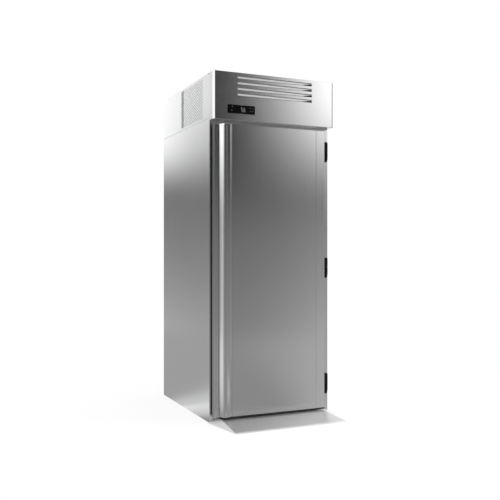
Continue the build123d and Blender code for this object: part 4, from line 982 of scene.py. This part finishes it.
def fan_shells(middle, axis, tip, hub, depth, blades=5):
    """A hub and its blades. A blade's section at each radius is a thin bow, pitched less towards the tip: its
    place is the radius, the angle chord * cos(pitch) / radius, and the height chord * sin(pitch) plus bow."""
    reach = np.linspace(hub - 0.0015, tip, 11)[None, :]
    share = (reach - hub) / (tip - hub)
    pitch = np.radians(40 - 22 * share)
    chord = (0.013 + 0.02 * share) * (1 - 0.3 * np.clip((share - 0.7) / 0.3, 0, 1) ** 2)
    across = np.concatenate((np.linspace(-1, 1, 10), np.linspace(1, -1, 10)))[:, None]
    side = np.where(np.arange(20) < 10, -1, 1)[:, None] * 0.0008 * np.sqrt(1.02 - across**2)
    height = across * chord * np.sin(pitch) + 0.0035 * (1 - across**2) + side
    shells = []
    for number in range(blades):
        angle = number * tau / blades + across * chord * np.cos(pitch) / reach
        flat = np.stack((reach * np.cos(angle), reach * np.sin(angle), height), -1)
        shells.append(grid(aim(flat, axis) + np.array(middle), around=True, caps=True))
    half = depth / 2
    hub_profile = [(0.004, -half + 0.003), (hub - 0.006, -half + 0.003), (hub - 0.004, -half)]
    hub_profile += [(hub - 0.001, -half), (hub, -half + 0.001), (hub, half - 0.003), (hub - 0.003, half)]
    hub_profile += [(0.009, half), (0.004, half)]
    return [turned(hub_profile, middle, axis), *shells]


fan_x, fan_y, roof_z = 0.0, 0.2295, seam
fan_tip, fan_hub, fan_depth = 0.1025, 0.026, 0.026
evap_fan_shells = fan_shells((fan_x, fan_y, 1.979), "Z", fan_tip, fan_hub, fan_depth)
evap_fan = make("roof_fan", *evap_fan_shells, smooth=True)
fan_plastic = moulded("fan_plastic_finish", (0.035, 0.035, 0.037), 0.38)
fit(evap_fan, fan_plastic, "evaporator_fan", "evaporator_fan", sharp=50)

can_profile = [(0.006, 0.0), (0.03, 0.0008), (0.037, 0.003), (0.0395, 0.008), (0.0395, 0.021), (0.0384, 0.022)]
can_profile += [(0.0384, 0.036), (0.0395, 0.037), (0.0395, 0.050), (0.037, 0.055), (0.03, 0.0572)]
can_profile += [(0.014, 0.0572), (0.013, 0.058), (0.006, 0.058)]
motor_black = moulded("motor_black_finish", (0.045, 0.045, 0.048), 0.42, grain=0.3, scale=500.0)
shaft_radius = 0.0037
strap_half, strap_sheet, strap_reach = 0.02, 0.003, 0.115
strap_top = roof_z + strap_sheet
roof_motor = make(
    "roof_fan_motor",
    turned(can_profile, (fan_x, fan_y, strap_top)),
    turned([(shaft_radius, -0.046), (shaft_radius, 0.002)], (fan_x, fan_y, roof_z), sides=16),
    block((-strap_reach, fan_y - strap_half, roof_z), (strap_reach, fan_y + strap_half, strap_top), 0.006),
    smooth=True,
)
fit(roof_motor, motor_black, "cabinet", "evaporator_fan_motor", sharp=35)


# Fan guard in the chamber's ceiling: rings and spokes of steel wire, welded to each other and coated black,
# on a flat pressed frame.
def tube(path, radius, sides=12, along=False):
    """A round tube along a path. Its ring at each station lies across the run, and is carried on from the
    station before by the least turn."""
    path = np.array(path, float)
    if along:
        tangent = np.roll(path, -1, 0) - np.roll(path, 1, 0)
    else:
        tangent = np.gradient(path, axis=0)
    tangent /= np.linalg.norm(tangent, axis=1)[:, None]
    across = np.cross(tangent[0], np.eye(3)[np.abs(tangent[0]).argmin()])
    rings = []
    for onward in tangent:
        across = across - onward * (across @ onward)
        across = across / np.linalg.norm(across)
        rings.append(across)
    rings = np.array(rings)
    upward = np.cross(tangent, rings)
    angle = np.linspace(0, tau, sides + 1)[:-1, None, None]
    skin = path[None] + radius * (np.cos(angle) * rings + np.sin(angle) * upward)
    return grid(skin, around=True, along=along, caps=not along)


guard_low, guard_high = 1.943, 1.945
guard_middle = np.array((fan_x, fan_y, 0.0))
frame_turns = np.arange(64) * tau / 64
spread = np.column_stack((np.cos(frame_turns), np.sin(frame_turns)))
square = spread / np.abs(spread).max(1)[:, None] * 0.115
circle = spread * 0.1065
frame_rows = [(square, guard_low), (square, guard_high), (circle, guard_high), (circle, guard_low)]
frame_points = stacked(frame_rows) + guard_middle
wire_radius = 0.0010
ring_middle, spoke_middle = guard_middle + (0.0, 0.0, 1.9434), guard_middle + (0.0, 0.0, 1.9442)
ring_turns = np.arange(48) * tau / 48
ring = np.column_stack((np.cos(ring_turns), np.sin(ring_turns), 0 * ring_turns))
guard_rings = [tube(r * ring + ring_middle, wire_radius, 6, True) for r in np.arange(0.014, 0.105, 0.0105)]
spoke_ends = np.array((0.012, 0.108))[:, None]
guard_spokes = [
    tube(spoke_ends * (cos(a), sin(a), 0.0) + spoke_middle, wire_radius, 6)
    for a in np.arange(8) * tau / 8 + 0.2
]
guard = make("ceiling_guard", grid(frame_points, around=True, along=True), *guard_rings, *guard_spokes)
guard_black = moulded("guard_black_finish", (0.03, 0.03, 0.032), 0.5, grain=0.1)
fit(guard, guard_black, "cabinet", "ceiling_fan_guard")
carry(guard_black, "condenser_shroud")


# Condenser: thin aluminium fins pressed on rows of copper tube, between two end plates, with hairpin bends
# where the tubes turn back. The evaporator's coil, shut in its box, only gets the same finish.
def coil_shells(x, y, z, fins, levels, plate=0.0015):
    """Fins across the width, end plates, and the bends at both ends: half rings joining tubes two by two."""
    thin = 0.00035
    fin = block((0, y[0] + 0.003, z[0]), (thin, y[1] - 0.003, z[1]), 0.0001, edge=0.00005)
    first = np.linspace(x[0] + 0.004, x[1] - 0.004 - thin, fins)
    rows = copies(fin, np.column_stack((first, 0 * first, 0 * first)))
    ends = [block((end, y[0], z[0]), (end + plate, y[1], z[1]), 0.0003) for end in (x[0], x[1] - plate)]
    pitch = (z[1] - z[0]) / levels
    half_turn = np.linspace(0, pi, 9)
    bends = []
    for end, outward, shift in ((x[0], -1, 0.5), (x[1], 1, 1.5)):
        bulge = outward * pitch / 2 * 0.8 * np.sin(half_turn)
        arc_path = np.column_stack((bulge, 0 * half_turn, -pitch / 2 * np.cos(half_turn)))
        levels_here = z[0] + (np.arange(shift, levels - 1, 2) + 0.5) * pitch
        for depth in (0.25, 0.75):
            line = y[0] + depth * (y[1] - y[0])
            bends.append(copies(tube(arc_path, 0.0045, 10), [(end, line, level) for level in levels_here]))
    return [rows, *ends], bends


fin_aluminium = brushed_steel(
    "fin_aluminium_finish", (0.78, 0.79, 0.81), 0.38, (500, 30, 6), streak=0.08, smudge=0.12, Metallic=0.5
)
copper_colour = (0.75, 0.36, 0.22)
copper, place, feed = finish("copper", copper_colour, 0.3, Metallic=1.0)
tarnish = place.noise(14.0, 5.0).ramp(0.42, 0.75)
feed("Base Color", tarnish.mix((*copper_colour, 1), (0.36, 0.17, 0.11, 1)))
feed("Roughness", tarnish * 0.3 + place.noise(60.0) * 0.1 + 0.22)
carry(fin_aluminium, "evaporator_coil")
unit_top = 2.015
fin_count, tube_levels = 110, 10
condenser_box = ((-0.25, 0.25), (-0.4735, -0.4075), (unit_top, 2.255))
fin_shells, bend_shells = coil_shells(*condenser_box, fin_count, tube_levels)
fit(make("condenser_fins", *fin_shells), fin_aluminium, "cabinet", "condenser_coil")
bends = make("condenser_bends", *bend_shells, smooth=True)
fit(bends, copper, "cabinet")

# Condenser fan: pressed aluminium blades on a hub, turned by a motor behind it. The motor's strap is bent up
# from the unit's base.
fan_level = 2.135
cooling_shells = fan_shells((0.0, -0.3735, fan_level), "Y", fan_tip, fan_hub, fan_depth)
cooling_fan = make("condenser_cooling_fan", *cooling_shells, smooth=True)
fan_metal = brushed_steel("fan_metal_finish", (0.7, 0.71, 0.72), 0.3, (60, 60, 60))
fit(cooling_fan, fan_metal, "condenser_fan", "condenser_fan", sharp=50)
motor_middle = (0.0, -0.3565, fan_level)
strap_corner = (-strap_half, -0.3275, unit_top)
cooling_motor = make(
    "condenser_motor",
    turned(can_profile, motor_middle, "Y"),
    turned([(shaft_radius, -0.03), (shaft_radius, 0.002)], motor_middle, "Y", 16),
    block(strap_corner, (strap_half, -0.3245, 2.115), 0.0008),
    block(strap_corner, (strap_half, -0.2875, 2.018), 0.0008),
    smooth=True,
)
fit(cooling_motor, motor_black, "cabinet", "condenser_fan_motor", sharp=35)

# Compressor: two drawn steel cups welded round the middle and painted black, on a foot plate with a cover
# over its terminals. It stands on four rubber mounts.
compressor_x, compressor_y = -0.150, -0.095
dome_turns = np.radians(np.linspace(0, 86, 12))
foot_top = 2.040
shell_profile = [(0.05, foot_top), (0.066, 2.0425), (0.0725, 2.048), (0.0755, 2.057), (0.0758, 2.1400)]
shell_profile += [(0.0785, 2.1413), (0.0800, 2.1425)]  # out to the weld belt
shell_profile += [(0.0815, 2.1435), (0.0819, 2.1455), (0.0815, 2.1475), (0.0805, 2.149)]
shell_profile += [(0.0805 * cos(a), 2.199 + 0.046 * sin(a)) for a in dome_turns]
terminal_x = compressor_x - 0.0765
paint_black = moulded(
    "compressor_paint", (0.012, 0.012, 0.013), 0.22, grain=0.12, scale=240.0, wear=0.3, Coat_Weight=0.5
)
foot_low = (compressor_x - 0.093, compressor_y - 0.073, 2.037)
foot_high = (compressor_x + 0.093, compressor_y + 0.073, foot_top)
cover_low = (terminal_x - 0.029, compressor_y - 0.03, 2.091)
cover_high = (terminal_x + 0.01, compressor_y + 0.03, 2.141)
compressor_body = make(
    "compressor_shell",
    turned(shell_profile, (compressor_x, compressor_y, 0.0), sides=56),
    block(foot_low, foot_high, 0.009),
    block(cover_low, cover_high, 0.006, edge=0.003),
    smooth=True,
)
fit(compressor_body, paint_black, "cabinet", "compressor", sharp=32)
mount_profile = [(0.006, 0.0), (0.0125, 0.0005), (0.0128, 0.006), (0.0105, 0.008), (0.0105, 0.012)]
mount_profile += [(0.0125, 0.014), (0.012, 0.0215), (0.006, 0.022)]
mount_places = [(x, y, 0.0) for x in (-0.075, 0.075) for y in (-0.055, 0.055)]
mount_shell = turned(mount_profile, (compressor_x, compressor_y, unit_top), sides=24)
mounts = make("compressor_feet", copies(mount_shell, mount_places), smooth=True)
mount_rubber = moulded("mount_rubber_finish", (0.02, 0.02, 0.022), 0.7)
fit(mounts, mount_rubber, "cabinet", "compressor_mounts", sharp=40)
bolt_profile = [(0.003, 0.0), (0.0062, 0.0), (0.0062, 0.0035), (0.0052, 0.0045), (0.003, 0.0045)]
bolt_shell = turned(bolt_profile, (compressor_x, compressor_y, foot_top), sides=6)
fit(make("compressor_bolts", copies(bolt_shell, mount_places)), pin_steel, "cabinet")

# Receiver: a small pressure vessel, two drawn cups welded round the middle, on a foot block. Drier: a spun
# copper shell, necked at both ends.
receiver_profile = [(0.01, 2.029), (0.024, 2.0305), (0.033, 2.0345), (0.0368, 2.041), (0.0372, 2.110)]
receiver_profile += [(0.0378, 2.112), (0.0378, 2.116), (0.0372, 2.118), (0.0368, 2.187)]
receiver_profile += [(0.033, 2.1935), (0.024, 2.1975), (0.01, 2.199)]
receiver = make(
    "receiver_vessel",
    turned(receiver_profile, (0.170, -0.205, 0.0)),
    block((0.1435, -0.2315, unit_top), (0.1965, -0.1785, 2.031), 0.004),
    smooth=True,
)
fit(receiver, paint_black, "cabinet", "liquid_receiver", sharp=35)
drier_profile = [(0.0055, 0.0), (0.0065, 0.001), (0.010, 0.006), (0.0155, 0.013), (0.0168, 0.018)]
drier_profile += [(0.0168, 0.092), (0.0155, 0.097), (0.010, 0.104), (0.0065, 0.109), (0.0055, 0.110)]
drier_x, drier_z = 0.170, 2.067
drier = make("drier_shell", turned(drier_profile, (drier_x, -0.151, drier_z), "Y", 28), smooth=True)
fit(drier, copper, "cabinet", "filter_drier")


# Pipes: soft copper bent by hand on a 16 mm radius, each ending on what it feeds. The suction pipe wears a
# sleeve of black foam.
def route(points, radius=0.016):
    """A pipe's middle line: its corners, each rounded to an arc of 7 places, between its two ends."""
    inner = rounded(points, radius, 6).reshape(len(points), 7, 3)[1:-1]
    return np.concatenate((points[:1], inner.reshape(-1, 3), points[-1:]))


discharge_points = [(-0.068, -0.095, 2.179), (-0.028, -0.095, 2.179), (-0.028, -0.095, 2.275)]
discharge_points += [(-0.028, -0.4405, 2.275), (-0.028, -0.4405, 2.255)]
liquid_points = [(0.250, -0.4405, 2.239), (0.290, -0.4405, 2.239), (0.290, -0.205, 2.239)]
liquid_points += [(0.170, -0.205, 2.239), (0.170, -0.205, 2.199)]
suction_points = [(-0.232, 0.0845, 2.179), (-0.232, 0.0445, 2.179)]
suction_points += [(-0.150, 0.0445, 2.179), (-0.150, -0.013, 2.179)]
pipe_radius, sleeve_radius = 0.005, 0.008
discharge = make("discharge_line", tube(route(discharge_points), pipe_radius), smooth=True)
drier_pipes = [
    tube([(drier_x, start, drier_z), (drier_x, end, drier_z)], pipe_radius)
    for start, end in ((-0.167, -0.149), (-0.043, 0.0845))
]
liquid = make("liquid_line", tube(route(liquid_points), pipe_radius), *drier_pipes, smooth=True)
suction = make("suction_line", tube(route(suction_points), sleeve_radius, 16), smooth=True)
sleeve_foam = moulded("pipe_foam_finish", (0.025, 0.025, 0.027), 0.9, grain=0.6, scale=500.0)
for pipe, pipe_finish, pipe_slot, node in (
    (discharge, copper, "copper", "discharge_pipe"),
    (liquid, copper, "copper", "liquid_pipe"),
    (suction, sleeve_foam, "pipe_foam", "suction_pipe"),
):
    fit(pipe, pipe_finish, "cabinet", node, sharp=60)

# Electrical box: moulded in grey plastic, with a lid on four screws. The condensate tray and the cable gland
# are black mouldings.
box_low, box_high = (0.213, -0.0855, unit_top), (0.303, 0.0445, 2.129)
lid_top, lid_lap = 2.135, 0.001
lid_low = (box_low[0] - lid_lap, box_low[1] - lid_lap, box_high[2])
lid_high = (box_high[0] + lid_lap, box_high[1] + lid_lap, lid_top)
supply_box = make(
    "supply_box",
    block(box_low, box_high, 0.005, edge=0.0006),
    block(lid_low, lid_high, 0.006, edge=0.0015),
)
box_plastic = moulded("box_plastic_finish", (0.55, 0.56, 0.57), 0.45)
fit(supply_box, box_plastic, "cabinet", "electrical_box")
screw_profile = [(0.001, 0.0), (0.0036, 0.0), (0.0036, 0.0012), (0.0028, 0.002), (0.001, 0.002)]
screw_inset = 0.009
screw_x, screw_y = ((low + screw_inset, high - screw_inset) for low, high in zip(box_low[:2], box_high[:2]))
screw_places = [(x, y, lid_top) for x in screw_x for y in screw_y]
lid_screws = make("supply_box_screws", copies(turned(screw_profile, (0, 0, 0), sides=14), screw_places))
fit(lid_screws, pin_steel, "cabinet")
carry(moulded("tray_plastic_finish", (0.07, 0.07, 0.075), 0.5), "evaporation_tray")
carry(moulded("gland_black_finish", (0.03, 0.03, 0.032), 0.5), "cable_gland")
